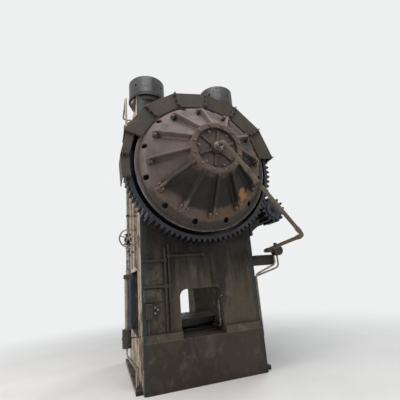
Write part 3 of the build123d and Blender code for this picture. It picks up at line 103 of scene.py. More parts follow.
def vectorCalc(tree, operation, first, second=(0.0, 0.0, 0.0), output="Value"):
    made = addNode(tree, "ShaderNodeVectorMath", {"operation": operation})
    plug(tree, made.inputs[0], first)
    plug(tree, made.inputs[1], second)
    return made.outputs[output]


def times(tree, *values):
    result = values[0]
    for value in values[1:]:
        result = calc(tree, "MULTIPLY", result, value)
    return result


def swayed(tree, value, pattern, amount):
    # the value pushed to both sides by a pattern of 0 to 1
    return calc(tree, "ADD", value, times(tree, calc(tree, "SUBTRACT", pattern, 0.5), amount))


def blendColour(tree, amount, under, over, mode="MIX"):
    made = addNode(tree, "ShaderNodeMix", {"data_type": "RGBA", "blend_type": mode})
    plug(tree, made.inputs[0], amount)
    plug(tree, made.inputs[6], under if isinstance(under, bpy.types.NodeSocket) else colour(under))
    plug(tree, made.inputs[7], over if isinstance(over, bpy.types.NodeSocket) else colour(over))
    return made.outputs[2]


def coatOver(tree, tone, coat, *amounts):
    # lays the coat's own tone over what is below, as far as its share and the amounts let it show
    return blendColour(tree, times(tree, *amounts, coat["share"]), tone, coat["tone"])


# The operator's side of the castings keeps an old cream coat that peels and rusts, painted paler than it is
# to stand in for the light from the front. The gear side is brown and blotched low down, teal along its
# corners, and black where oil from the gear has run and where the gear's shadow is painted in. A fade says
# where a coat starts and where
# it is full: a noise value, a part of the normal, or a height or distance in metres
castingLook = {
    "brown": dict(tone=(0.092, 0.067, 0.045), share=0.75, fade=(2.8, 1.1)),
    "blotch": dict(tone=(0.037, 0.030, 0.026), share=0.72, fade=(0.50, 0.57),
                   pattern=dict(scale=2.3, detail=8, rough=0.68, distortion=0.9, stretch=(1.0, 1.0, 0.6))),
    "scuff": dict(tone=(0.150, 0.136, 0.106), share=0.5, fade=(0.54, 0.62),
                  pattern=dict(scale=4.0, detail=8, rough=0.66, distortion=0.5, stretch=(1.0, 1.0, 0.8))),
    # oil from the gear, and the gear's painted shadow on the side face below it
    "oil": dict(tone=(0.014, 0.011, 0.011), share=0.84, fade=(2.30, 1.40),
                middle=(1.15, 0.35, 3.45), sway=-3.0,
                pattern=dict(scale=1.0, detail=6, rough=0.62, distortion=0.35, stretch=(5.0, 5.0, 0.32))),
    "teal": dict(tone=(0.034, 0.048, 0.046), share=0.75, front=(-0.93, -0.96), rear=(0.99, 1.02), sway=0.25),
    "gearSide": (0.5, 0.8),
    # the cream on the faces toward the operator is paler than their own paint: painted light from the front
    "creamAndFrontLight": dict(tone=(0.58, 0.49, 0.40), second=(0.42, 0.33, 0.25), fade=(0.35, 0.7),
                  pattern=dict(scale=1.3, detail=4), facing=(-0.80, -0.95), outside=(-0.80, -0.90)),
    "peel": dict(pattern=dict(scale=4.2, detail=10, rough=0.74, distortion=0.6, stretch=(1.0, 1.0, 0.55)),
                 fade=(0.525, 0.565), panelFade=(0.570, 0.600), more=(2.2, 0.7, 0.0, 0.05)),
    "iron": dict(rust=(0.150, 0.070, 0.034), dark=(0.040, 0.033, 0.028), fade=(0.45, 0.60),
                 pattern=dict(scale=9.0, detail=6, rough=0.7)),
    "stripe": dict(tone=(0.020, 0.031, 0.032), share=0.85, start=(0.08, 0.30), end=(0.97, 0.85),
                   upright=(0.5, 0.3)),
    "bedShare": 0.45, "bedFade": (-0.8, -0.5),
}


def rustyIron(tree, place, iron):
    spots = noise(tree, place, **iron["pattern"])
    return blendColour(tree, between(tree, spots, *iron["fade"]), iron["rust"], iron["dark"])


def gearSideCoats(tree, tone, place, parts, normal):
    brown, blotch, scuff = (castingLook[key] for key in ("brown", "blotch", "scuff"))
    oil, teal = castingLook["oil"], castingLook["teal"]
    tone = coatOver(tree, tone, brown, between(tree, parts["Z"], *brown["fade"]))
    blotches = noise(tree, place, **blotch["pattern"])
    tone = coatOver(tree, tone, blotch, between(tree, blotches, *blotch["fade"]))
    scuffs = noise(tree, place, **scuff["pattern"])
    tone = coatOver(tree, tone, scuff, between(tree, scuffs, *scuff["fade"]))
    gearSide = between(tree, normal["X"], *castingLook["gearSide"])
    # dark oil and the gear's painted shadow, close below the gear on the faces toward it
    fromOilAndShade = vectorCalc(tree, "DISTANCE", place, oil["middle"])
    fromOilAndShade = swayed(tree, fromOilAndShade, noise(tree, place, **oil["pattern"]), oil["sway"])
    tone = coatOver(tree, tone, oil, between(tree, fromOilAndShade, *oil["fade"]), gearSide)
    corner = swayed(tree, parts["Y"], scuffs, teal["sway"])
    band = calc(tree, "MAXIMUM", between(tree, corner, *teal["front"]), between(tree, corner, *teal["rear"]))
    return coatOver(tree, tone, teal, band, gearSide)


def castingCoat(tree, tone, place, normal):
    parts = addNode(tree, "ShaderNodeSeparateXYZ", Vector=place).outputs
    tone = gearSideCoats(tree, tone, place, parts, normal)
    creamAndFrontLight, peel, stripe = castingLook["creamAndFrontLight"], castingLook["peel"], castingLook["stripe"]
    clouds = between(tree, noise(tree, place, **creamAndFrontLight["pattern"]), *creamAndFrontLight["fade"])
    coat = blendColour(tree, clouds, creamAndFrontLight["tone"], creamAndFrontLight["second"])
    more = between(tree, parts["Z"], *peel["more"])
    peeled = calc(tree, "ADD", noise(tree, place, **peel["pattern"]), more)
    iron = rustyIron(tree, place, castingLook["iron"])
    coat = blendColour(tree, between(tree, peeled, *peel["fade"]), coat, iron)
    # faces toward the operator take the cream coat, made paler as painted light from the front
    facing = between(tree, normal["Y"], *creamAndFrontLight["facing"])
    tone = blendColour(tree, times(tree, facing, between(tree, parts["Y"], *creamAndFrontLight["outside"])), tone, coat)
    # a dark stripe follows the rounded corners of the front
    side = calc(tree, "ABSOLUTE", normal["Y"])
    along = times(tree, between(tree, side, *stripe["start"]), between(tree, side, *stripe["end"]))
    upright = between(tree, calc(tree, "ABSOLUTE", normal["Z"]), *stripe["upright"])
    return coatOver(tree, tone, stripe, along, upright)


def bedCoat(tree, tone, place, normal):
    # the same coats, with the oil-dark paint below showing through on the sides away from the operator
    coated = castingCoat(tree, tone, place, normal)
    away = times(tree, between(tree, normal["Y"], *castingLook["bedFade"]), castingLook["bedShare"])
    return blendColour(tree, away, coated, tone)


def panelCoat(tree, tone, place, normal):
    # the sheet covers over the well peel less than the castings round them
    peel = castingLook["peel"]
    peeled = between(tree, noise(tree, place, **peel["pattern"]), *peel["panelFade"])
    return blendColour(tree, peeled, tone, rustyIron(tree, place, castingLook["iron"]))


# The cover is dusty above. The lower cone is dark with oil and painted shade, the lower outer rim is darkened
# as painted shade, and the brown round the lower foot is lightened as painted light. A patch of bare orange
# primer is brightened as a painted highlight. Its two rims are rubbed bright. Fades are radii about the shaft
# or heights from it
coverLook = {
    "ragged": dict(scale=2.6, detail=6, rough=0.6, distortion=0.5), "raggedHeight": 0.5,
    "raggedRadius": 0.125, "lean": -0.35, "lower": (0.10, -0.32),
    "hub": dict(tone=(0.118, 0.073, 0.056), share=0.65, fade=(0.47, 0.42)),
    # oil and painted shade darken the lower cone
    "oil": dict(tone=(0.013, 0.013, 0.013), share=0.88, inner=(0.42, 0.47), outer=(0.90, 0.82)),
    # brown round the lower foot, made lighter as painted light
    "foot": dict(tone=(0.160, 0.090, 0.045), share=0.9, inner=(0.83, 0.89), outer=(1.04, 0.98),
                 fade=(0.38, 0.60), pattern=dict(scale=3.4, detail=6, rough=0.65)),
    # painted shade on the lower outer rim
    "rim": dict(tone=(0.030, 0.027, 0.026), share=0.75, fade=(1.00, 1.05)),
    "rubbed": dict(tone=(0.31, 0.27, 0.245), share=1.0, fade=(0.40, 0.58, 0.15, 0.85),
                   pattern=dict(scale=4.0, detail=6, rough=0.7),
                   rims=[((1.163, 1.168), (1.180, 1.176)), ((1.092, 1.096), (1.106, 1.102))]),
    # orange primer patch, its brightness partly a painted highlight
    "primerAndHighlight": dict(tone=(0.42, 0.200, 0.070), share=0.9, fade=(0.100, 0.070), middle=(0.0, 0.60, -0.60),
                   sway=0.35, pattern=dict(scale=10.0, detail=7, rough=0.7, distortion=0.4)),
}


def ringBetween(tree, radius, inner, outer):
    return times(tree, between(tree, radius, *inner), between(tree, radius, *outer))


def coverStains(tree, tone, place, normal):
    hub, oil, foot = (coverLook[key] for key in ("hub", "oil", "foot"))
    rim, rubbed, primerAndHighlight = (coverLook[key] for key in ("rim", "rubbed", "primerAndHighlight"))
    spot = vectorCalc(tree, "SUBTRACT", place, shaft, "Vector")
    parts = addNode(tree, "ShaderNodeSeparateXYZ", Vector=spot).outputs
    flat = addNode(tree, "ShaderNodeCombineXYZ", X=0.0, Y=parts["Y"], Z=parts["Z"]).outputs["Vector"]
    radius = vectorCalc(tree, "LENGTH", flat)
    ragged = noise(tree, place, **coverLook["ragged"])
    leaning = calc(tree, "ADD", parts["Z"], times(tree, parts["Y"], coverLook["lean"]))
    height = swayed(tree, leaning, ragged, coverLook["raggedHeight"])
    reach = swayed(tree, radius, ragged, coverLook["raggedRadius"])
    lower = between(tree, height, *coverLook["lower"])
    tone = coatOver(tree, tone, hub, between(tree, reach, *hub["fade"]))
    # the lower cone dark with oil and painted shade
    tone = coatOver(tree, tone, oil, ringBetween(tree, reach, oil["inner"], oil["outer"]), lower)
    # brown on the lower foot, brightened as painted light
    brown = between(tree, noise(tree, place, **foot["pattern"]), *foot["fade"])
    tone = coatOver(tree, tone, foot, ringBetween(tree, reach, foot["inner"], foot["outer"]), lower, brown)
    # painted shade darkens the outer rim on the lower side
    tone = coatOver(tree, tone, rim, between(tree, reach, *rim["fade"]), lower)
    rims = [ringBetween(tree, radius, inner, outer) for inner, outer in rubbed["rims"]]
    bright = between(tree, noise(tree, place, **rubbed["pattern"]), *rubbed["fade"])
    tone = coatOver(tree, tone, rubbed, calc(tree, "MAXIMUM", *rims), bright)
    # bare orange primer, brightened as a painted highlight
    fromPrimerAndHighlight = vectorCalc(tree, "DISTANCE", flat, primerAndHighlight["middle"])
    fromPrimerAndHighlight = swayed(tree, fromPrimerAndHighlight, noise(tree, place, **primerAndHighlight["pattern"]), primerAndHighlight["sway"])
    return coatOver(tree, tone, primerAndHighlight, between(tree, fromPrimerAndHighlight, *primerAndHighlight["fade"]))


# What a finish has besides its two tones unless it says otherwise: dust, grime with painted shade in corners,
# oil, rust and worn edges
usualLook = dict(
    patchScale=2.2, grainScale=90.0, dustColour=(0.20, 0.175, 0.150), dust=0.5, film=0.25,
    # the near-black laid in corners is grime together with painted shade
    grimeAndShadeColour=(0.016, 0.014, 0.012), grimeAndShade=0.8, corner=0.10, streakColour=(0.026, 0.022, 0.019),
    streaks=0.35, rustColour=(0.13, 0.055, 0.024), rust=0.15, edgeColour=(0.26, 0.24, 0.22), edge=0.6,
    edgeRadius=0.012, edgeMetal=0.7, metallic=0.0, rough=0.60, roughSpread=0.16, specular=0.2, grain=0.25,
    waves=0.2, stains=None)

# Marks of age that all finishes share
ageMarks = {
    "patches": dict(detail=7, rough=0.62, distortion=0.4), "patchFade": (0.36, 0.66),
    "blots": dict(detail=6, rough=0.65), "blotsFiner": 5.3, "blotFade": (0.42, 0.75), "blotShare": 0.45,
    "bloom": dict(detail=9, rough=0.7, distortion=0.8), "bloomFiner": 3.1, "bloomFade": (0.60, 0.72),
    "dustFacing": (0.15, 0.85), "filmFade": (0.35, 0.7), "dustGaps": (0.25, 0.6, 0.55, 1.0),
    "runs": dict(scale=1.0, detail=5, rough=0.6, distortion=0.3, stretch=(9.0, 9.0, 0.55)),
    "runFade": (0.50, 0.72), "wallFacing": (0.8, 0.3),
    "cornerShadeFade": (0.92, 0.25), "grimeAndShadeGaps": (0.25, 0.65, 0.5, 1.0),
    "edgeFade": (0.985, 0.86), "edgeGaps": (0.38, 0.60, 0.25, 1.0),
    "grain": dict(detail=4, rough=0.6), "fleck": (0.3, 0.75, 0.86, 1.1), "grainDepth": 0.004,
    "swell": dict(scale=11.0, detail=3, rough=0.5), "swellDepth": 0.02,
    "roughFade": (0.3, 0.7), "dustDull": 0.25, "oilShine": 0.18, "sampling": dict(samples=6),
}


def dustAmount(tree, full, facing, patches, blots):
    # a film of dust everywhere, thicker on what faces up
    thick = times(tree, between(tree, facing, *ageMarks["dustFacing"]), full["dust"])
    film = times(tree, between(tree, blots, *ageMarks["filmFade"]), full["film"])
    return times(tree, calc(tree, "MAXIMUM", thick, film), between(tree, patches, *ageMarks["dustGaps"]))


def runAmount(tree, full, place, facing):
    # oil runs down the walls
    wall = between(tree, calc(tree, "ABSOLUTE", facing), *ageMarks["wallFacing"])
    runs = between(tree, noise(tree, place, **ageMarks["runs"]), *ageMarks["runFade"])
    return times(tree, runs, full["streaks"], wall)


def grimeAndShadeAmount(tree, full, blots):
    # grime gathers where surfaces meet, and painted shade darkens the same corners
    near = addNode(tree, "ShaderNodeAmbientOcclusion", ageMarks["sampling"], Distance=full["corner"])
    corner = between(tree, near.outputs["AO"], *ageMarks["cornerShadeFade"])
    return times(tree, corner, between(tree, blots, *ageMarks["grimeAndShadeGaps"]), full["grimeAndShade"])


def edgeAmount(tree, full, blots):
    # edges are worn bright, where a rounded normal turns away from the true one
    bevel = addNode(tree, "ShaderNodeBevel", ageMarks["sampling"], Radius=full["edgeRadius"])
    flat = addNode(tree, "ShaderNodeNewGeometry").outputs["Normal"]
    turned = vectorCalc(tree, "DOT_PRODUCT", bevel.outputs["Normal"], flat)
    gaps = between(tree, blots, *ageMarks["edgeGaps"])
    return times(tree, between(tree, turned, *ageMarks["edgeFade"]), gaps, full["edge"])


def wornFinish(name, look):
    full = {**usualLook, **look}
    material = newMaterial(name)
    tree = material.node_tree
    coords = addNode(tree, "ShaderNodeTexCoord")
    place = coords.outputs["Object"]
    normal = addNode(tree, "ShaderNodeSeparateXYZ", Vector=coords.outputs["Normal"]).outputs
    patches = noise(tree, place, full["patchScale"], **ageMarks["patches"])
    blots = noise(tree, place, full["patchScale"] * ageMarks["blotsFiner"], **ageMarks["blots"])
    bloom = noise(tree, place, full["patchScale"] * ageMarks["bloomFiner"], **ageMarks["bloom"])
    grain = noise(tree, place, full["grainScale"], **ageMarks["grain"])
    tone = blendColour(tree, between(tree, patches, *ageMarks["patchFade"]), full["base"], full["second"])
    blotted = times(tree, between(tree, blots, *ageMarks["blotFade"]), ageMarks["blotShare"])
    tone = blendColour(tree, blotted, tone, full["second"])
    dust = dustAmount(tree, full, normal["Z"], patches, blots)
    tone = blendColour(tree, dust, tone, full["dustColour"])
    if full["stains"]:
        tone = full["stains"](tree, tone, place, normal)
    rust = times(tree, between(tree, bloom, *ageMarks["bloomFade"]), full["rust"])
    tone = blendColour(tree, rust, tone, full["rustColour"])
    runs = runAmount(tree, full, place, normal["Z"])
    tone = blendColour(tree, runs, tone, full["streakColour"])
    # grime with painted shade darkens the corners and crevices that ambient occlusion finds
    grimeAndShade = grimeAndShadeAmount(tree, full, blots)
    tone = blendColour(tree, grimeAndShade, tone, full["grimeAndShadeColour"])
    worn = edgeAmount(tree, full, blots)
    tone = blendColour(tree, worn, tone, full["edgeColour"])
    fleck = between(tree, grain, *ageMarks["fleck"])
    shade = addNode(tree, "ShaderNodeCombineXYZ", X=fleck, Y=fleck, Z=fleck).outputs["Vector"]
    tone = blendColour(tree, 1.0, tone, shade, "MULTIPLY")
    # dust is dull, oil and grime shine a little
    rough = between(tree, blots, *ageMarks["roughFade"], full["rough"] - full["roughSpread"],
                    full["rough"] + full["roughSpread"])
    rough = calc(tree, "ADD", rough, times(tree, dust, ageMarks["dustDull"]))
    oily = calc(tree, "MAXIMUM", runs, grimeAndShade)
    rough = calc(tree, "SUBTRACT", rough, times(tree, oily, ageMarks["oilShine"]))
    metal = calc(tree, "MAXIMUM", times(tree, worn, full["edgeMetal"]), full["metallic"])
    bump = addNode(tree, "ShaderNodeBump", Strength=full["grain"], Distance=ageMarks["grainDepth"],
                   Height=grain)
    waves = addNode(tree, "ShaderNodeBump", Strength=full["waves"], Distance=ageMarks["swellDepth"],
                    Height=noise(tree, place, **ageMarks["swell"]), Normal=bump.outputs["Normal"])
    surface = addNode(tree, "ShaderNodeBsdfPrincipled", Base_Color=tone, Roughness=rough, Metallic=metal,
                      Specular_IOR_Level=full["specular"], Normal=waves.outputs["Normal"])
    addNode(tree, "ShaderNodeOutputMaterial", Surface=surface.outputs["BSDF"])
    return material


# the grime and corner values set how strongly grime and painted shade darken each finish's corners
finishes = {
    "framePaint": dict(
        base=(0.096, 0.093, 0.072), second=(0.058, 0.050, 0.039), dustColour=(0.145, 0.116, 0.088), dust=0.5,
        film=0.22, streaks=0.40, edge=0.5, rust=0.3, grimeAndShade=0.9, corner=0.22, patchScale=1.1, waves=0.3,
        stains=castingCoat),
    "bedPaint": dict(
        base=(0.034, 0.026, 0.023), second=(0.022, 0.018, 0.017), dustColour=(0.105, 0.082, 0.066), dust=0.5,
        film=0.15, streaks=0.45, rust=0.4, corner=0.2, patchScale=1.4, stains=bedCoat),
    "ironPaint": dict(
        base=(0.075, 0.072, 0.060), second=(0.050, 0.047, 0.039), dust=0.6, film=0.25, streaks=0.45, edge=0.7,
        rust=0.35, corner=0.12, patchScale=2.0),
    "coverPaint": dict(
        base=(0.150, 0.111, 0.098), second=(0.072, 0.055, 0.051), dustColour=(0.250, 0.188, 0.165), dust=0.75,
        film=0.20, streaks=0.3, grimeAndShade=1.0, corner=0.16, edge=0.9, edgeColour=(0.27, 0.225, 0.19),
        edgeMetal=0.3, edgeRadius=0.014, rust=0.3, patchScale=1.6, rough=0.50, stains=coverStains),
    "brakePaint": dict(
        base=(0.112, 0.083, 0.074), second=(0.054, 0.042, 0.039), dustColour=(0.190, 0.150, 0.128), dust=0.7,
        film=0.2, streaks=0.5, grimeAndShade=1.0, corner=0.14, edge=0.9, edgeMetal=0.3, rust=0.35, patchScale=2.4),
    "capPaint": dict(
        base=(0.122, 0.074, 0.058), second=(0.040, 0.031, 0.028), dust=0.5, film=0.15, streaks=0.2, grimeAndShade=1.0,
        corner=0.10, edge=0.8, edgeColour=(0.17, 0.14, 0.12), edgeMetal=0.3, edgeRadius=0.010, rust=0.4,
        patchScale=3.2, rough=0.50),
    "guardPaint": dict(
        base=(0.066, 0.053, 0.042), second=(0.040, 0.033, 0.028), dustColour=(0.145, 0.115, 0.090), dust=0.6,
        film=0.2, streaks=0.4, rust=0.35, edge=0.8, edgeRadius=0.006, corner=0.09, patchScale=2.0),
    "creamPaint": dict(
        base=(0.56, 0.475, 0.385), second=(0.41, 0.335, 0.26), dust=0.3, film=0.2, streaks=0.6,
        streakColour=(0.13, 0.085, 0.05), rust=1.0, rustColour=(0.17, 0.08, 0.035), grimeAndShade=0.8,
        edgeColour=(0.10, 0.07, 0.05), edge=0.8, corner=0.10, patchScale=2.6, rough=0.5, stains=panelCoat),
    "motorPaint": dict(
        base=(0.085, 0.115, 0.115), second=(0.065, 0.088, 0.090), dust=0.7, film=0.3, rust=0.15, streaks=0.3),
    "cylinderPaint": dict(
        base=(0.070, 0.078, 0.076), second=(0.052, 0.058, 0.057), dust=0.6, film=0.3, rust=0.2),
    "bowlPaint": dict(
        base=(0.014, 0.022, 0.050), second=(0.012, 0.018, 0.036), dust=0.5, film=0.25, rust=0.1, edge=0.5,
        corner=0.04, rough=0.42, specular=0.5, grain=0.1, patchScale=6.0),
    "handwheelPaint": dict(
        base=(0.48, 0.42, 0.38), second=(0.22, 0.18, 0.16), dust=0.3, film=0.1, rust=0.4, edge=0.7,
        edgeRadius=0.006, corner=0.04, patchScale=7.0),
    "boxPaint": dict(
        base=(0.042, 0.034, 0.036), second=(0.028, 0.023, 0.024), dust=0.5, film=0.2, rust=0.3, edge=0.7,
        edgeRadius=0.006, corner=0.05, patchScale=6.0),
    "fittingIron": dict(
        base=(0.042, 0.038, 0.036), second=(0.028, 0.026, 0.025), dust=0.5, film=0.25, rust=0.3, edge=0.8,
        edgeRadius=0.006, corner=0.04, patchScale=6.0),
    "gearSteel": dict(
        base=(0.032, 0.034, 0.043), second=(0.018, 0.018, 0.023), dust=0.35, film=0.06, streaks=0.15,
        rust=0.05, grimeAndShade=0.9, edgeColour=(0.15, 0.155, 0.18), edge=0.7, edgeRadius=0.007, metallic=0.35,
        rough=0.40, roughSpread=0.12, corner=0.10, patchScale=2.4, grain=0.18),
    "nutSteel": dict(
        base=(0.086, 0.085, 0.090), second=(0.046, 0.044, 0.047), dustColour=(0.150, 0.135, 0.120), dust=0.5,
        film=0.15, streaks=0.5, rust=0.3, edgeColour=(0.34, 0.33, 0.32), edge=0.8, metallic=0.3, rough=0.44,
        corner=0.10, patchScale=3.4),
    "washerSteel": dict(
        base=(0.034, 0.033, 0.035), second=(0.024, 0.023, 0.024), dust=0.5, rust=0.2, edge=0.8, metallic=0.3,
        rough=0.5, corner=0.08, patchScale=3.5),
    "machinedSteel": dict(
        base=(0.30, 0.295, 0.285), second=(0.21, 0.205, 0.20), dust=0.3, film=0.15, streaks=0.1, rust=0.1,
        edge=0.6, metallic=0.8, rough=0.36, roughSpread=0.1, grain=0.08, waves=0.05),
    "castSteel": dict(
        base=(0.090, 0.086, 0.080), second=(0.062, 0.059, 0.055), dust=0.4, film=0.2, rust=0.2, metallic=0.4,
        rough=0.50),
    "toolSteel": dict(
        base=(0.046, 0.043, 0.041), second=(0.026, 0.025, 0.024), dust=0.3, film=0.12, rust=0.3, streaks=0.4,
        edge=0.8, edgeRadius=0.008, metallic=0.3, rough=0.45, patchScale=3.0),
    "boltSteel": dict(
        base=(0.34, 0.32, 0.30), second=(0.19, 0.175, 0.16), dust=0.3, film=0.15, rust=0.25, streaks=0.0,
        edge=0.6, edgeRadius=0.004, metallic=0.75, rough=0.34, corner=0.03, patchScale=12.0, grain=0.1),
    "dullBolt": dict(
        base=(0.190, 0.170, 0.155), second=(0.090, 0.078, 0.070), dust=0.4, film=0.2, rust=0.4, streaks=0.0,
        edge=0.7, edgeRadius=0.004, metallic=0.6, rough=0.40, corner=0.03, patchScale=12.0),
    "darkBolt": dict(
        base=(0.060, 0.054, 0.048), second=(0.040, 0.036, 0.032), dust=0.4, rust=0.4, streaks=0.0, edge=0.8,
        edgeRadius=0.004, metallic=0.4, rough=0.48, corner=0.03, patchScale=10.0),
    "bronze": dict(
        base=(0.34, 0.22, 0.09), second=(0.23, 0.145, 0.06), dust=0.2, film=0.1, rust=0.0, edge=0.4,
        edgeColour=(0.6, 0.42, 0.2), metallic=0.85, rough=0.36),
    "pipeSteel": dict(
        base=(0.165, 0.132, 0.090), second=(0.100, 0.079, 0.055), dust=0.35, film=0.15, streaks=0.0,
        rust=0.35, rustColour=(0.10, 0.052, 0.026), edge=0.3, edgeRadius=0.004, corner=0.05, rough=0.55,
        patchScale=5.0),
    "thinPipe": dict(
        base=(0.052, 0.044, 0.034), second=(0.034, 0.029, 0.024), dust=0.2, film=0.1, streaks=0.1, rust=0.3,
        edge=0.3, edgeRadius=0.004, corner=0.05, patchScale=6.0),
    "palePipe": dict(
        base=(0.40, 0.37, 0.32), second=(0.27, 0.245, 0.21), dust=0.3, film=0.2, streaks=0.2, rust=0.35,
        edge=0.2, edgeRadius=0.004, corner=0.05, rough=0.42, patchScale=5.0),
    "paleTube": dict(
        base=(0.40, 0.36, 0.30), second=(0.28, 0.25, 0.21), dust=0.4, film=0.25, rust=0.3, streaks=0.5,
        edge=0.2, corner=0.04, rough=0.45, grain=0.1, patchScale=5.0),
    "beltRubber": dict(
        base=(0.018, 0.018, 0.018), second=(0.028, 0.027, 0.026), dust=0.4, film=0.2, rust=0.0, edge=0.3,
        edgeColour=(0.07, 0.065, 0.06), edgeMetal=0.0, rough=0.75, patchScale=5.0),
    "frictionLining": dict(
        base=(0.11, 0.075, 0.05), second=(0.075, 0.052, 0.036), dust=0.2, rust=0.0, edge=0.3, edgeMetal=0.0,
        rough=0.85, patchScale=9.0, grain=0.5),
    # the bright patches over the dark braid are partly painted glints
    "hoseBraid": dict(
        base=(0.46, 0.42, 0.42), second=(0.050, 0.040, 0.046), dust=0.15, film=0.05, rust=0.2, streaks=0.0,
        edge=0.5, edgeRadius=0.003, metallic=0.5, rough=0.36, corner=0.02, patchScale=17.0, grain=0.4),
}
finish = {name: wornFinish(name, look) for name, look in finishes.items()}
print("finishes made:", len(finish))


def pieceFrom(mesh, name, finishNames, body, replaced=()):
    mesh.materials.clear()
    for finishName in [finishNames] if isinstance(finishNames, str) else finishNames:
        mesh.materials.append(finish[finishName])
    piece = bpy.data.objects.new(name, mesh)
    bpy.context.scene.collection.objects.link(piece)
    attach(piece, body)
    if replaced:
        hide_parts(*replaced)
    return piece


def meshFrom(bm, name, smoothAngle=35):
    mesh = bpy.data.meshes.new(name)
    bmesh.ops.recalc_face_normals(bm, faces=bm.faces)
    bm.to_mesh(mesh)
    bm.free()
    mesh.shade_smooth()
    mesh.set_sharp_from_angle(angle=math.radians(smoothAngle))
    return mesh


def orient(direction):
    return Vector(direction).to_track_quat("Z", "Y").to_matrix().to_4x4()


def addTurned(bm, profile, steps, foot=shaft, axis=(1, 0, 0), closed=True):
    # turns (along, radius) points about an axis through the foot
    turn = Matrix.Translation(foot) @ orient(axis)
    rings = []
    for number in range(steps):
        angle = 2 * math.pi * number / steps
        rings.append([bm.verts.new(turn @ Vector((radius * math.cos(angle), radius * math.sin(angle), along)))
                      for along, radius in profile])
    count = len(profile)
    for number in range(steps):
        here, following = rings[number], rings[(number + 1) % steps]
        for point in range(count if closed else count - 1):
            other = (point + 1) % count
            bm.faces.new((here[point], here[other], following[other], following[point]))
    if not closed:
        bm.faces.new([ring[0] for ring in rings])
        bm.faces.new([ring[-1] for ring in reversed(rings)])


def curvePoint(start, middle, end, t):
    return start * (1 - t) ** 2 + middle * 2 * t * (1 - t) + end * t ** 2


def roundedProfile(corners, steps):
    # (along, radius, fillet) corners to points with each corner rounded
    points = []
    count = len(corners)
    for number in range(count):
        here = Vector(corners[number][:2])
        inward = Vector(corners[number - 1][:2]) - here
        outward = Vector(corners[(number + 1) % count][:2]) - here
        reach = min(corners[number][2], inward.length * 0.45, outward.length * 0.45)
        start, end = here + inward.normalized() * reach, here + outward.normalized() * reach
        points += [tuple(curvePoint(start, here, end, step / steps)) for step in range(steps + 1)]
    return points


def addRod(bm, start, end, radius, steps, endRadius=None, spin=0.0):
    start, end = Vector(start), Vector(end)
    span = end - start
    place = Matrix.Translation((start + end) / 2) @ orient(span) @ Matrix.Rotation(spin, 4, "Z")
    bmesh.ops.create_cone(bm, cap_ends=True, segments=steps, radius1=radius,
                          radius2=radius if endRadius is None else endRadius, depth=span.length, matrix=place)


# Shares of a bolt head's radius, and of its height for the straight part
headShape = {"washer": 1.25, "straight": 0.8, "chamferFoot": 0.97, "chamferTop": 0.78}


def addHex(bm, spot, direction, radius, height, washer=0.0):
    # hexagon head with a chamfered top, on a thin washer
    spot, direction = Vector(spot), Vector(direction).normalized()
    spin = dice.uniform(0.0, math.pi / 3)
    if washer:
        addRod(bm, spot, spot + direction * washer, radius * headShape["washer"], 20)
    base = spot + direction * washer
    shoulder = base + direction * height * headShape["straight"]
    addRod(bm, base, shoulder, radius, 6, None, spin)
    addRod(bm, shoulder, base + direction * height, radius * headShape["chamferFoot"], 6,
           radius * headShape["chamferTop"], spin)


def addBlock(bm, low, high, bevel, segments=2):
    low, high = Vector(low), Vector(high)
    place = Matrix.Translation((low + high) / 2) @ Matrix.Diagonal((*(high - low), 1.0))
    cube = bmesh.ops.create_cube(bm, size=1.0, matrix=place)
    edges = {edge for vert in cube["verts"] for edge in vert.link_edges}
    bmesh.ops.bevel(bm, geom=list(edges), offset=bevel, segments=segments, affect="EDGES", profile=0.5)


def addTube(bm, points, radius, steps, bend):
    # round rod through the points with its corners bent
    points = [Vector(point) for point in points]
    path = [points[0]]
    for before, here, after in zip(points, points[1:], points[2:]):
        start = here + (before - here).normalized() * bend
        end = here + (after - here).normalized() * bend
        path += [curvePoint(start, here, end, t) for t in (0, 0.25, 0.5, 0.75, 1)]
    path.append(points[-1])
    rings = []
    side = None
    for number, spot in enumerate(path):
        heading = (path[min(number + 1, len(path) - 1)] - path[max(number - 1, 0)]).normalized()
        if side is None:
            side = heading.orthogonal().normalized()
        side = (side - heading * side.dot(heading)).normalized()
        other = heading.cross(side)
        rings.append([bm.verts.new(spot + (side * math.cos(a) + other * math.sin(a)) * radius)
                      for a in (2 * math.pi * step / steps for step in range(steps))])
    skinRows(bm, rings)


def skinRows(bm, rows):
    # joins closed rows of points into a tube with both ends capped
    for here, following in zip(rows, rows[1:]):
        for number in range(len(here)):
            other = (number + 1) % len(here)
            bm.faces.new((here[number], here[other], following[other], following[number]))
    bm.faces.new(rows[0])
    bm.faces.new(list(reversed(rows[-1])))


def aroundShaft(radius, degrees, x):
    angle = math.radians(degrees)
    return Vector((x, shaft.y + radius * math.cos(angle), shaft.z + radius * math.sin(angle)))


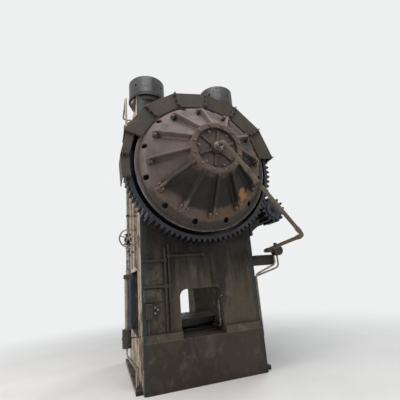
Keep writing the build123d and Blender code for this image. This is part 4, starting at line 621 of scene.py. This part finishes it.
# Clutch cover: a stepped shell with cast ribs that run out into bolted lugs
coverShape = {
    "corners": [  # (along the shaft, radius, rounding)
        (1.750, 1.175, 0.003), (1.780, 1.175, 0.006), (1.780, 1.120, 0.006), (1.766, 1.120, 0.005),
        (1.766, 1.098, 0.008), (1.802, 1.094, 0.012), (1.905, 1.005, 0.030), (1.965, 0.850, 0.035),
        (2.322, 0.438, 0.030), (2.352, 0.417, 0.012), (2.484, 0.417, 0.010), (2.484, 0.335, 0.005),
        (2.400, 0.335, 0.003), (2.400, 0.260, 0.003), (2.290, 0.260, 0.003), (2.290, 0.387, 0.010),
        (1.935, 0.838, 0.020), (1.875, 0.985, 0.020), (1.750, 1.040, 0.003),
    ],
    "steps": 192, "roundSteps": 4,
    "ribs": 12, "firstRib": 1.5, "ribWidth": 0.040, "ribFoot": 0.034, "ribSunk": 0.008, "ribLeast": 0.012,
    "ribSoft": 0.009, "ribDraft": 0.94, "ribNarrowFrom": 0.955, "ribNarrowing": 4,
    "ribFillet": [(0.45, 0.14), (0.15, 0.45), (0.0, 1.0)],  # shares of the foot's rounding, outward and up
    "ribStations": [0.402, 0.44, 0.50, 0.58, 0.66, 0.74, 0.82, 0.86, 0.90, 0.94, 0.955, 0.975, 0.992, 1.006],
    "ribTop": [(0.400, 2.468), (0.950, 2.050), (1.010, 1.962)],  # (radius, place along the shaft)
    "shell": [(0.400, 2.345), (0.429, 2.330), (0.850, 1.965), (1.005, 1.905), (1.030, 1.880)],
    "lug": dict(inner=0.890, outer=0.985, half=0.075, face=1.988, sunk=0.03, edge=0.014),
    "vent": dict(ring=1.045, radius=0.045, start=1.70, depth=0.4),
}


def ribAngle(shape, number):
    return shape["firstRib"] + number * 360 / shape["ribs"]


def levelAt(table, radius):
    for (r0, x0), (r1, x1) in zip(table, table[1:]):
        if r0 <= radius <= r1:
            return x0 + (x1 - x0) * (radius - r0) / (r1 - r0)
    return table[-1][1] if radius > table[-1][0] else table[0][1]


def ribSection(shape, radius):
    # (across, along the shaft) points of a rib with rounded feet and top
    low = levelAt(shape["shell"], radius)
    top = max(levelAt(shape["ribTop"], radius), low + shape["ribLeast"])
    lift = min(shape["ribFoot"], (top - low) * 0.45)
    past = max(radius - shape["ribNarrowFrom"], 0.0)
    half = shape["ribWidth"] / 2 * (1.0 - past * shape["ribNarrowing"])
    topHalf = half * shape["ribDraft"]
    soft = min(shape["ribSoft"], (top - low) * 0.3)
    section = [(half + lift, low - shape["ribSunk"])]
    section += [(half + lift * outward, low + lift * up) for outward, up in shape["ribFillet"]]
    section += [(topHalf, top - soft), (topHalf - soft * 0.3, top - soft * 0.3), (topHalf - soft, top)]
    return section + [(-across, x) for across, x in reversed(section)]


def addRib(bm, shape, degrees):
    angle = math.radians(degrees)
    skinRows(bm, [[bm.verts.new((x, shaft.y + radius * math.cos(angle) - across * math.sin(angle),
                                 shaft.z + radius * math.sin(angle) + across * math.cos(angle)))
                   for across, x in ribSection(shape, radius)] for radius in shape["ribStations"]])


def addLug(bm, shape, degrees):
    lug = shape["lug"]
    block = bmesh.new()
    foot = levelAt(shape["shell"], lug["outer"]) - lug["sunk"]
    low, high = (foot, -lug["half"], lug["inner"]), (lug["face"], lug["half"], lug["outer"])
    addBlock(block, low, high, lug["edge"], 3)
    turn = Matrix.Translation((0, 0, shaft.z)) @ Matrix.Rotation(math.radians(degrees - 90), 4, "X")
    bmesh.ops.transform(block, matrix=turn, verts=block.verts)
    mesh = bpy.data.meshes.new("lug")
    block.to_mesh(mesh)
    block.free()
    bm.from_mesh(mesh)
    bpy.data.meshes.remove(mesh)


def buildShell(shape):
    bm = bmesh.new()
    addTurned(bm, roundedProfile(shape["corners"], shape["roundSteps"]), shape["steps"])
    shell = pieceFrom(meshFrom(bm, "coverShell"), "clutchCoverShell", "coverPaint", "gear",
                      ["clutch_cover"])
    vent = shape["vent"]
    drill = bmesh.new()
    for number in range(shape["ribs"]):
        spot = aroundShaft(vent["ring"], ribAngle(shape, number + 0.5), vent["start"])
        addRod(drill, spot, spot + Vector((vent["depth"], 0, 0)), vent["radius"], 32)
    cutter = bpy.data.objects.new("ventDrill", meshFrom(drill, "ventDrill"))
    bpy.context.scene.collection.objects.link(cutter)
    cut = shell.modifiers.new("vents", "BOOLEAN")
    cut.operation, cut.object, cut.solver = "DIFFERENCE", cutter, "EXACT"
    drilled = bpy.data.meshes.new_from_object(shell.evaluated_get(bpy.context.evaluated_depsgraph_get()))
    shell.modifiers.clear()
    shell.data = drilled
    bpy.data.objects.remove(cutter)


def buildRibs(shape):
    bm = bmesh.new()
    for number in range(shape["ribs"]):
        addRib(bm, shape, ribAngle(shape, number))
        addLug(bm, shape, ribAngle(shape, number))
    pieceFrom(meshFrom(bm, "coverRibs", 40), "clutchCoverRibs", "coverPaint", "gear")


# Bolts of the cover's lugs, hub rim and cap. A head is (radius, height)
coverBolts = {
    "lugs": dict(radius=0.9375, x=1.988, spread=3.0, head=(0.022, 0.026), washer=0.004),
    "rim": dict(radius=0.376, x=2.484, first=15.0, count=12, head=(0.020, 0.017), washer=0.003),
    "cap": dict(radius=0.290, x=2.430, first=50.0, count=6, head=(0.022, 0.019), washer=0.003),
}


def boltCover(bolts, shape):
    bm = bmesh.new()
    lugs = bolts["lugs"]
    for number in range(shape["ribs"]):
        for side in (-1, 1):
            spot = aroundShaft(lugs["radius"], ribAngle(shape, number) + side * lugs["spread"], lugs["x"])
            addHex(bm, spot, (1, 0, 0), *lugs["head"], lugs["washer"])
    for row in (bolts["rim"], bolts["cap"]):
        for number in range(row["count"]):
            spot = aroundShaft(row["radius"], row["first"] + number * 360 / row["count"], row["x"])
            addHex(bm, spot, (1, 0, 0), *row["head"], row["washer"])
    pieceFrom(meshFrom(bm, "coverBolts", 25), "coverBoltHeads", "dullBolt", "gear",
              ["cover_bolts"])


buildShell(coverShape)
buildRibs(coverShape)
boltCover(coverBolts, coverShape)
print("clutch cover built")

# CAD pieces that keep their shape, with flat faces joined and edges broken by so many metres. Some parts have
# a finish of their own, as (finish, low corner, high corner) of the room round their faces
dressed = {
    "press_frame": dict(finish="framePaint", edge=0.012),
    "bed": dict(finish="bedPaint", edge=0.012),
    "tie_rod_nuts": dict(finish="nutSteel", edge=0.006),
    "tie_rod_washers": dict(finish="washerSteel", edge=0.005),
    "tie_rods": dict(finish="machinedSteel", edge=0.004),
    "main_gear": dict(finish="gearSteel", edge=0.003),
    "hub_cap": dict(finish="capPaint", edge=0.005),
    "gear_guard": dict(finish="guardPaint", edge=0.0015, join=False),
    "guard_stays": dict(finish="guardPaint", edge=0.003),
    "well_covers": dict(finish="creamPaint", edge=0.003, join=False, parts=[
        ("ironPaint", (-1.0, 0.9, 0.0), (1.0, 1.3, 6.0)),
    ]),
    "guide_gibs": dict(finish="toolSteel", edge=0.004),
    "slide": dict(finish="toolSteel", edge=0.006),
    "slide_liners": dict(finish="bronze", edge=0.002),
    "bolster": dict(finish="toolSteel", edge=0.005),
    "bed_wedge": dict(finish="toolSteel", edge=0.003),
    "bolster_rails": dict(finish="toolSteel", edge=0.003),
    "drive_brackets": dict(finish="ironPaint", edge=0.006),
    "motor_bracket": dict(finish="ironPaint", edge=0.004),
    "motor": dict(finish="motorPaint", edge=0.004),
    "motor_pulley": dict(finish="machinedSteel", edge=0.003),
    "flywheel": dict(finish="ironPaint", edge=0.004),
    "pinion_shaft": dict(finish="gearSteel", edge=0.003),
    "v_belts": dict(finish="beltRubber", edge=0.004),
    "brake_housing": dict(finish="guardPaint", edge=0.006),
    "brake_cover": dict(finish="brakePaint", edge=0.005),
    "balance_cylinders": dict(finish="cylinderPaint", edge=0.004),
    "rotary_union": dict(finish="boltSteel", edge=0.003),
    "air_pipe": dict(finish="pipeSteel", edge=0.001),
    "air_valve": dict(finish="fittingIron", edge=0.004),
    "valve_pipes": dict(finish="paleTube", edge=0.001),
    "side_pipes": dict(finish="thinPipe", edge=0.002),
    "side_boxes": dict(finish="framePaint", edge=0.002, parts=[
        ("boxPaint", (1.151, -0.980, 1.080), (1.250, -0.745, 1.312)),
        ("machinedSteel", (1.192, -0.860, 1.130), (1.240, -0.770, 1.275)),
    ]),
    "front_riser": dict(finish="palePipe", edge=0.001),
    "hand_valve": dict(finish="fittingIron", edge=0.003),
    "handwheel": dict(finish="handwheelPaint", edge=0.002),
    "filter_bowls": dict(finish="fittingIron", edge=0.003, parts=[
        ("bowlPaint", (0.80, -1.246, 0.930), (1.00, -1.154, 1.760)),
        ("paleTube", (0.80, -1.300, 0.941), (1.00, -1.238, 1.745)),
        ("palePipe", (0.80, -1.300, 0.020), (1.00, -1.000, 0.654)),
    ]),
    "pipe_supports": dict(finish="fittingIron", edge=0.001),
    "frame_bolts": dict(finish="darkBolt", edge=0.002),
    "connecting_rod": dict(finish="castSteel", edge=0.005),
    "rod_cap": dict(finish="castSteel", edge=0.005),
    "eccentric_shaft": dict(finish="machinedSteel", edge=0.004),
}


def joinedMesh(node, look):
    # the node's mesh with flat faces joined, and the finish of each face as its material index
    bm = bmesh.new()
    bm.from_mesh(frame["nodes"][node].data)
    bmesh.ops.remove_doubles(bm, verts=bm.verts, dist=1e-5)
    if look.get("join", True):
        bmesh.ops.dissolve_limit(bm, angle_limit=math.radians(0.6), verts=bm.verts, edges=bm.edges)
    bmesh.ops.recalc_face_normals(bm, faces=bm.faces)
    for index, (finishName, low, high) in enumerate(look.get("parts", ()), 1):
        for face in bm.faces:
            if all(low[axis] < face.calc_center_median()[axis] < high[axis] for axis in range(3)):
                face.material_index = index
    mesh = bpy.data.meshes.new(node + "Dressed")
    bm.to_mesh(mesh)
    bm.free()
    if "custom_normal" in mesh.attributes:
        mesh.attributes.remove(mesh.attributes["custom_normal"])
    mesh.shade_smooth()
    mesh.set_sharp_from_angle(angle=math.radians(32))
    return mesh


def camel(node):
    return "".join(word.capitalize() if number else word for number, word in enumerate(node.split("_")))


def dressNode(node, look):
    mesh = joinedMesh(node, look)
    finishNames = [look["finish"]] + [part[0] for part in look.get("parts", ())]
    indices = [face.material_index for face in mesh.polygons]
    piece = pieceFrom(mesh, camel(node) + "Finished", finishNames, bodyOf[node], [node])
    for face, index in zip(mesh.polygons, indices):
        face.material_index = index
    bevel = piece.modifiers.new("edges", "BEVEL")
    bevel.width = look["edge"]
    bevel.segments = 2
    bevel.limit_method = "ANGLE"
    bevel.angle_limit = math.radians(32)
    bevel.harden_normals = True
    bevel.miter_outer = "MITER_ARC"


# CAD pieces that are only given a finish, most of them inside
painted = {
    "main_bushes": "bronze", "gear_bearings": "bronze", "drive_bearings": "bronze", "rod_bushes": "bronze",
    "rod_bolts": "darkBolt", "wrist_pin": "machinedSteel", "balance_rods": "machinedSteel",
    "clutch_hub": "castSteel", "driven_disc": "machinedSteel", "friction_blocks": "frictionLining",
    "brake_disc": "machinedSteel", "lining_plate": "machinedSteel", "clutch_cylinder": "castSteel",
    "clutch_piston": "machinedSteel", "brake_piston": "machinedSteel", "upper_ejector": "machinedSteel",
    "lower_ejector": "machinedSteel",
}


def paintNode(node, finishName):
    source = frame["nodes"][node]
    if not source.material_slots:
        source.data.materials.append(finish[finishName])
    for place in source.material_slots:
        place.material = finish[finishName]


for node, look in dressed.items():
    dressNode(node, look)
for node, finishName in painted.items():
    paintNode(node, finishName)
print("CAD pieces dressed:", len(dressed), "painted:", len(painted))

# Bolts through the flanged joints of the gear guard, and on the stays behind them
guardJoints = {
    "flanges": [  # (angles about the shaft, radii of the bolts)
        ((33, 58, 83, 108, 133), (1.20, 1.30, 1.40)),
        ((175,), (1.30, 1.365)),
    ],
    "x": 1.824, "head": (0.014, 0.011), "washer": 0.002, "half": 0.0045, "gap": 0.32,
    "shank": 0.007, "before": 0.02, "past": 0.022,
    "stays": dict(angles=(58, 83, 108, 133), x=(1.362, 1.408), radius=1.4545, head=(0.015, 0.011)),
}


def boltGuard(joints):
    bm = bmesh.new()
    for angles, radii in joints["flanges"]:
        for degrees in angles:
            angle = math.radians(degrees)
            ahead = Vector((0, -math.sin(angle), math.cos(angle)))
            for radius in radii:
                spot = aroundShaft(radius, degrees, joints["x"])
                reach = radius * math.radians(joints["gap"]) + joints["half"]
                for side in (-1, 1):
                    addHex(bm, spot + ahead * side * reach, ahead * side, *joints["head"], joints["washer"])
                addRod(bm, spot - ahead * (reach + joints["before"]), spot + ahead * (reach + joints["past"]),
                       joints["shank"], 10)
    stays = joints["stays"]
    for degrees in stays["angles"]:
        outward = aroundShaft(1.0, degrees, 0.0) - shaft
        for x in stays["x"]:
            addHex(bm, aroundShaft(stays["radius"], degrees, x), outward, *stays["head"], joints["washer"])
    pieceFrom(meshFrom(bm, "guardBolts", 25), "guardBoltHeads", "dullBolt", "frame")


boltGuard(guardJoints)
print("gear guard bolted")

# Couplings and union nuts on the air pipe
pipeShape = {
    "elbow": Vector((2.690, 0.0, 3.554)), "low": Vector((2.630, 1.150, 2.145)),
    "back": Vector((1.190, 1.320, 2.060)), "collar": 0.037, "nut": 0.043, "unionNut": (2.600, 2.636),
    "fittings": [  # (corner, run, place along the run from the corner, length, size, sides)
        ("elbow", "slant", 0.50, 0.10, "collar", 24), ("elbow", "slant", 0.53, 0.04, "nut", 8),
        ("low", "slant", -0.14, 0.07, "collar", 24), ("low", "level", 0.08, 0.07, "collar", 24),
        ("back", "level", -0.17, 0.07, "collar", 24),
    ],
}


def fitAirPipe(shape):
    bm = bmesh.new()
    runs = {
        "slant": (shape["low"] - shape["elbow"]).normalized(),
        "level": (shape["back"] - shape["low"]).normalized(),
    }
    start, end = shape["unionNut"]
    addRod(bm, (start, 0, shaft.z), (end, 0, shaft.z), shape["nut"], 6)
    for corner, run, along, length, size, sides in shape["fittings"]:
        place = shape[corner] + runs[run] * along
        addRod(bm, place, place + runs[run] * length, shape[size], sides)
    pieceFrom(meshFrom(bm, "airPipeFittings"), "airPipeFittings", "pipeSteel", "frame")


# Ribbed hose sleeve below the hand valve, with a ferrule and a nut at each end
hoseShape = {
    "foot": Vector((0.900, -1.225, 0.0)), "low": 1.812, "high": 2.322, "radius": 0.0335, "pitch": 0.013,
    "ridge": 0.003, "ridgeShare": 0.4, "steps": 28,
    "ferrules": [(1.812, 1.862, 0.041, 24), (1.862, 1.878, 0.046, 6), (2.272, 2.322, 0.041, 24),
                 (2.256, 2.272, 0.046, 6)],  # (low, high, radius, sides)
}


def sleeveHose(shape):
    bm = bmesh.new()
    profile = []
    rows = int((shape["high"] - shape["low"]) / shape["pitch"])
    for number in range(rows + 1):
        along = shape["low"] + number * shape["pitch"]
        profile += [(along, shape["radius"]),
                    (along + shape["pitch"] * shape["ridgeShare"], shape["radius"] + shape["ridge"])]
    addTurned(bm, profile, shape["steps"], shape["foot"], (0, 0, 1), closed=False)
    pieceFrom(meshFrom(bm, "hoseSleeve", 60), "hoseSleeve", "hoseBraid", "frame")
    bm = bmesh.new()
    for low, high, radius, sides in shape["ferrules"]:
        addRod(bm, shape["foot"] + Vector((0, 0, low)), shape["foot"] + Vector((0, 0, high)), radius, sides)
    pieceFrom(meshFrom(bm, "hoseFerrules"), "hoseFerrules", "boltSteel", "frame")


fitAirPipe(pipeShape)
sleeveHose(hoseShape)
print("air pipe and hose fitted")

# Grips on the covers over the well
gripShape = {
    "faces": [(-1.056, -1), (1.116, 1)],  # (place of the cover's face, which way it looks)
    "x": 0.36, "levels": (2.25, 4.05), "reach": 0.055, "half": 0.085, "radius": 0.009, "bend": 0.022,
    "plate": (0.004, 0.020),
}


def addGrips(shape):
    bm = bmesh.new()
    thick, plateRadius = shape["plate"]
    for face, side in shape["faces"]:
        out = face + side * shape["reach"]
        for x in (-shape["x"], shape["x"]):
            left, right = x - shape["half"], x + shape["half"]
            for z in shape["levels"]:
                points = [(left, face, z), (left, out, z), (right, out, z), (right, face, z)]
                addTube(bm, points, shape["radius"], 12, shape["bend"])
                for end in (left, right):
                    addRod(bm, (end, face, z), (end, face + side * thick, z), plateRadius, 20)
    pieceFrom(meshFrom(bm, "coverGrips"), "wellCoverGrips", "fittingIron", "frame")


# Threads on the ends of the tie rods above the nuts, with a plug in each centre hole
threadShape = {
    "x": 0.865, "y": 0.790, "low": 5.686, "high": 5.734, "pitch": 0.008, "crest": 0.1535, "root": 0.1500,
    "core": 0.1480, "plug": (5.744, 5.752, 0.030),
}


def cutThreads(shape):
    bm = bmesh.new()
    profile = [(shape["low"], shape["core"])]
    for number in range(int((shape["high"] - shape["low"]) / shape["pitch"])):
        along = shape["low"] + number * shape["pitch"]
        profile += [(along, shape["root"]), (along + shape["pitch"] / 2, shape["crest"])]
    profile += [(shape["high"], shape["root"]), (shape["high"], shape["core"])]
    low, high, radius = shape["plug"]
    for x in (-shape["x"], shape["x"]):
        for y in (-shape["y"], shape["y"]):
            addTurned(bm, profile, 72, (x, y, 0.0), (0, 0, 1))
            addRod(bm, (x, y, low), (x, y, high), radius, 6)
    pieceFrom(meshFrom(bm, "rodThreads", 20), "tieRodThreads", "machinedSteel", "frame")


addGrips(gripShape)
cutThreads(threadShape)
print("grips and threads made")

# Motor: wire grille on the fan cowl, terminal box lid with screws and glands, lifting eye, foot bolts
motorShape = {
    "cowl": Vector((-0.390, 1.620, 4.800)), "wires": (0.045, 0.085, 0.125, 0.165, 0.205), "wire": 0.004,
    "wireOut": 0.003, "spokes": 8, "spoke": (0.02, 0.235, 0.005), "boss": (0.010, 0.045),
    "lid": ((-1.050, 1.482, 5.158), (-0.770, 1.758, 5.176)), "lidEdge": 0.004, "screwIn": 0.015,
    "screw": (0.010, 0.008), "glands": (-0.99, -0.91, -0.83), "glandZ": 5.085, "gland": (1.745, 1.790, 0.024),
    "glandNut": (1.765, 1.785, 0.031),
    "eye": Vector((-0.600, 1.620, 5.108)), "eyeRadius": 0.036, "eyeRod": 0.010,
    "eyeStem": (5.062, 5.082, 0.026),
    "footX": (-1.23, -0.59), "footY": (1.385, 1.855), "footZ": 4.520, "footBolt": (0.018, 0.016, 0.004),
}


def addLoop(bm, points, radius, steps):
    for here, following in zip(points, points[1:] + points[:1]):
        addRod(bm, here, following, radius, steps)


def circlePoints(centre, first, second, radius, steps):
    turns = (2 * math.pi * step / steps for step in range(steps))
    return [centre + (first * math.cos(a) + second * math.sin(a)) * radius for a in turns]


def addGrille(bm, shape):
    acrossY, up = Vector((0, 1, 0)), Vector((0, 0, 1))
    face = shape["cowl"] + Vector((shape["wireOut"], 0, 0))
    for radius in shape["wires"]:
        addLoop(bm, circlePoints(face, acrossY, up, radius, 36), shape["wire"], 8)
    inner, outer, thick = shape["spoke"]
    for step in range(shape["spokes"]):
        angle = 2 * math.pi * step / shape["spokes"]
        spoke = Vector((0, math.cos(angle), math.sin(angle)))
        addRod(bm, face + spoke * inner, face + spoke * outer, thick, 8)
    depth, radius = shape["boss"]
    addRod(bm, shape["cowl"], shape["cowl"] + Vector((depth, 0, 0)), radius, 24)


def addTerminalLid(bm, shape):
    low, high = shape["lid"]
    addBlock(bm, low, high, shape["lidEdge"])
    inset = shape["screwIn"]
    for x in (low[0] + inset, high[0] - inset):
        for y in (low[1] + inset, high[1] - inset):
            addHex(bm, (x, y, high[2]), (0, 0, 1), *shape["screw"])
    for x in shape["glands"]:
        for (start, end, radius), sides in ((shape["gland"], 24), (shape["glandNut"], 6)):
            addRod(bm, (x, start, shape["glandZ"]), (x, end, shape["glandZ"]), radius, sides)


def detailMotor(shape):
    bm = bmesh.new()
    addGrille(bm, shape)
    addTerminalLid(bm, shape)
    eye = shape["eye"]
    ring = circlePoints(eye, Vector((1, 0, 0)), Vector((0, 0, 1)), shape["eyeRadius"], 20)
    addLoop(bm, ring, shape["eyeRod"], 10)
    low, high, radius = shape["eyeStem"]
    addRod(bm, (eye.x, eye.y, low), (eye.x, eye.y, high), radius, 24)
    for x in shape["footX"]:
        for y in shape["footY"]:
            addHex(bm, (x, y, shape["footZ"]), (0, 0, 1), *shape["footBolt"])
    pieceFrom(meshFrom(bm, "motorDetails"), "motorDetails", "motorPaint", "frame")


# Spray pipe with nozzles, clipped to the rear jamb of the side window
sprayShape = {
    "points": [(0.70, 0.332, 0.820), (1.000, 0.362, 0.800), (1.000, 0.362, 1.260), (1.150, 0.372, 1.330)],
    "radius": 0.011, "bend": 0.05, "clips": (0.92, 1.14), "clipHalf": (0.016, 0.015, 0.012), "jamb": 0.391,
    "clipEdge": 0.002, "nozzles": (0.86, 1.03, 1.21), "nozzleHalf": 0.018, "nozzleRadius": 0.018,
}


def clipSprayPipe(shape):
    bm = bmesh.new()
    addTube(bm, shape["points"], shape["radius"], 14, shape["bend"])
    x, y = shape["points"][1][:2]
    halfX, halfY, halfZ = shape["clipHalf"]
    for z in shape["clips"]:
        low, high = (x - halfX, y - halfY, z - halfZ), (x + halfX, shape["jamb"], z + halfZ)
        addBlock(bm, low, high, shape["clipEdge"])
    half = shape["nozzleHalf"]
    for z in shape["nozzles"]:
        addRod(bm, (x, y, z - half), (x, y, z + half), shape["nozzleRadius"], 6)
    pieceFrom(meshFrom(bm, "sprayPipe"), "windowSprayPipe", "boltSteel", "frame")


detailMotor(motorShape)
clipSprayPipe(sprayShape)
print("motor and spray pipe detailed")

# Floor: pale and matt near the press, drawn over into the backdrop's own tone far out
stageShape = {
    "half": 120.0, "tone": (0.80, 0.79, 0.775), "second": (0.75, 0.74, 0.725), "rough": 0.85,
    "clouds": dict(scale=0.9, detail=6, rough=0.6), "cloudFade": (0.3, 0.7), "near": 2.8, "far": 9.0,
    "backdrop": (0.86, 0.865, 0.87), "skyLight": (0.93, 0.96, 1.0), "skyStrength": 0.34,
}


def seenRay(tree):
    # 1 for rays from the camera and for those that metal or glass sends on
    rays = addNode(tree, "ShaderNodeLightPath").outputs
    shiny = calc(tree, "MAXIMUM", rays["Is Glossy Ray"], rays["Is Transmission Ray"])
    return calc(tree, "MAXIMUM", rays["Is Camera Ray"], shiny)


def mixShaders(tree, amount, first, second):
    made = addNode(tree, "ShaderNodeMixShader")
    for socket, value in zip(made.inputs, (amount, first, second)):
        plug(tree, socket, value)
    return made.outputs[0]


def layFloor(shape):
    bm = bmesh.new()
    bmesh.ops.create_grid(bm, x_segments=2, y_segments=2, size=shape["half"])
    floor = bpy.data.objects.new("studioFloor", meshFrom(bm, "studioFloor"))
    bpy.context.scene.collection.objects.link(floor)
    material = newMaterial("studioFloorFinish")
    tree = material.node_tree
    place = addNode(tree, "ShaderNodeTexCoord").outputs["Object"]
    clouds = between(tree, noise(tree, place, **shape["clouds"]), *shape["cloudFade"])
    tone = blendColour(tree, clouds, shape["tone"], shape["second"])
    matt = addNode(tree, "ShaderNodeBsdfPrincipled", Base_Color=tone, Roughness=shape["rough"])
    glow = addNode(tree, "ShaderNodeEmission", Color=colour(shape["backdrop"]), Strength=1.0)
    farOut = between(tree, vectorCalc(tree, "LENGTH", place), shape["near"], shape["far"])
    surface = mixShaders(tree, times(tree, farOut, seenRay(tree)), matt.outputs["BSDF"], glow.outputs[0])
    addNode(tree, "ShaderNodeOutputMaterial", Surface=surface)
    floor.data.materials.append(material)


def hangBackdrop(shape):
    world = bpy.data.worlds.new("studioWorld")
    bpy.context.scene.world = world
    world.use_nodes = True
    tree = world.node_tree
    tree.nodes.clear()
    seen = addNode(tree, "ShaderNodeBackground", Color=colour(shape["backdrop"]), Strength=1.0)
    light = addNode(tree, "ShaderNodeBackground", Color=colour(shape["skyLight"]),
                    Strength=shape["skyStrength"])
    surface = mixShaders(tree, seenRay(tree), light.outputs[0], seen.outputs[0])
    addNode(tree, "ShaderNodeOutputWorld", Surface=surface)


lamps = {
    # name: (place, aim, size, watts, colour)
    "windowLight": ((2.5, -10.0, 6.5), (0.9, -0.5, 3.0), 6.0, 520.0, (1.0, 0.97, 0.93)),
    "roofLight": ((5.5, -1.5, 11.0), (0.8, 0.0, 3.2), 6.0, 680.0, (0.97, 0.98, 1.0)),
    "sideLight": ((10.5, 5.5, 4.5), (1.2, 0.0, 2.4), 5.0, 130.0, (1.0, 0.97, 0.93)),
    "rearLight": ((-7.0, 9.0, 8.0), (-0.5, 0.8, 3.0), 6.0, 420.0, (0.96, 0.98, 1.0)),
}


def hangLamp(name, place, aim, size, watts, tint):
    data = bpy.data.lights.new(name, "AREA")
    data.size = size
    data.energy = watts
    data.color = tint
    lamp = bpy.data.objects.new(name, data)
    lamp.location = place
    lamp.rotation_euler = (Vector(aim) - Vector(place)).to_track_quat("-Z", "Y").to_euler()
    bpy.context.scene.collection.objects.link(lamp)


# The camera stands where the photograph was taken from, with its axes as unit vectors
cameraShape = {
    "place": (6.184, -1.639, 1.650), "right": (0.3069, 0.9485, -0.0789), "up": (0.2732, -0.0083, 0.9619),
    "ahead": (-0.9117, 0.3167, 0.2617), "lens": 25.95, "sensor": 36.0, "farthest": 500.0,
}


def placeCamera(shape):
    data = bpy.data.cameras.new("camera")
    data.lens = shape["lens"]
    data.sensor_width = shape["sensor"]
    data.clip_end = shape["farthest"]
    camera = bpy.data.objects.new("camera", data)
    right, up, ahead = (Vector(shape[key]) for key in ("right", "up", "ahead"))
    turn = Matrix((right, up, -ahead)).transposed().to_4x4()
    camera.matrix_world = Matrix.Translation(shape["place"]) @ turn
    bpy.context.scene.collection.objects.link(camera)
    bpy.context.scene.camera = camera


layFloor(stageShape)
hangBackdrop(stageShape)
for name, setting in lamps.items():
    hangLamp(name, *setting)
placeCamera(cameraShape)
bpy.context.scene.view_settings.view_transform = "Standard"
print("stage set")
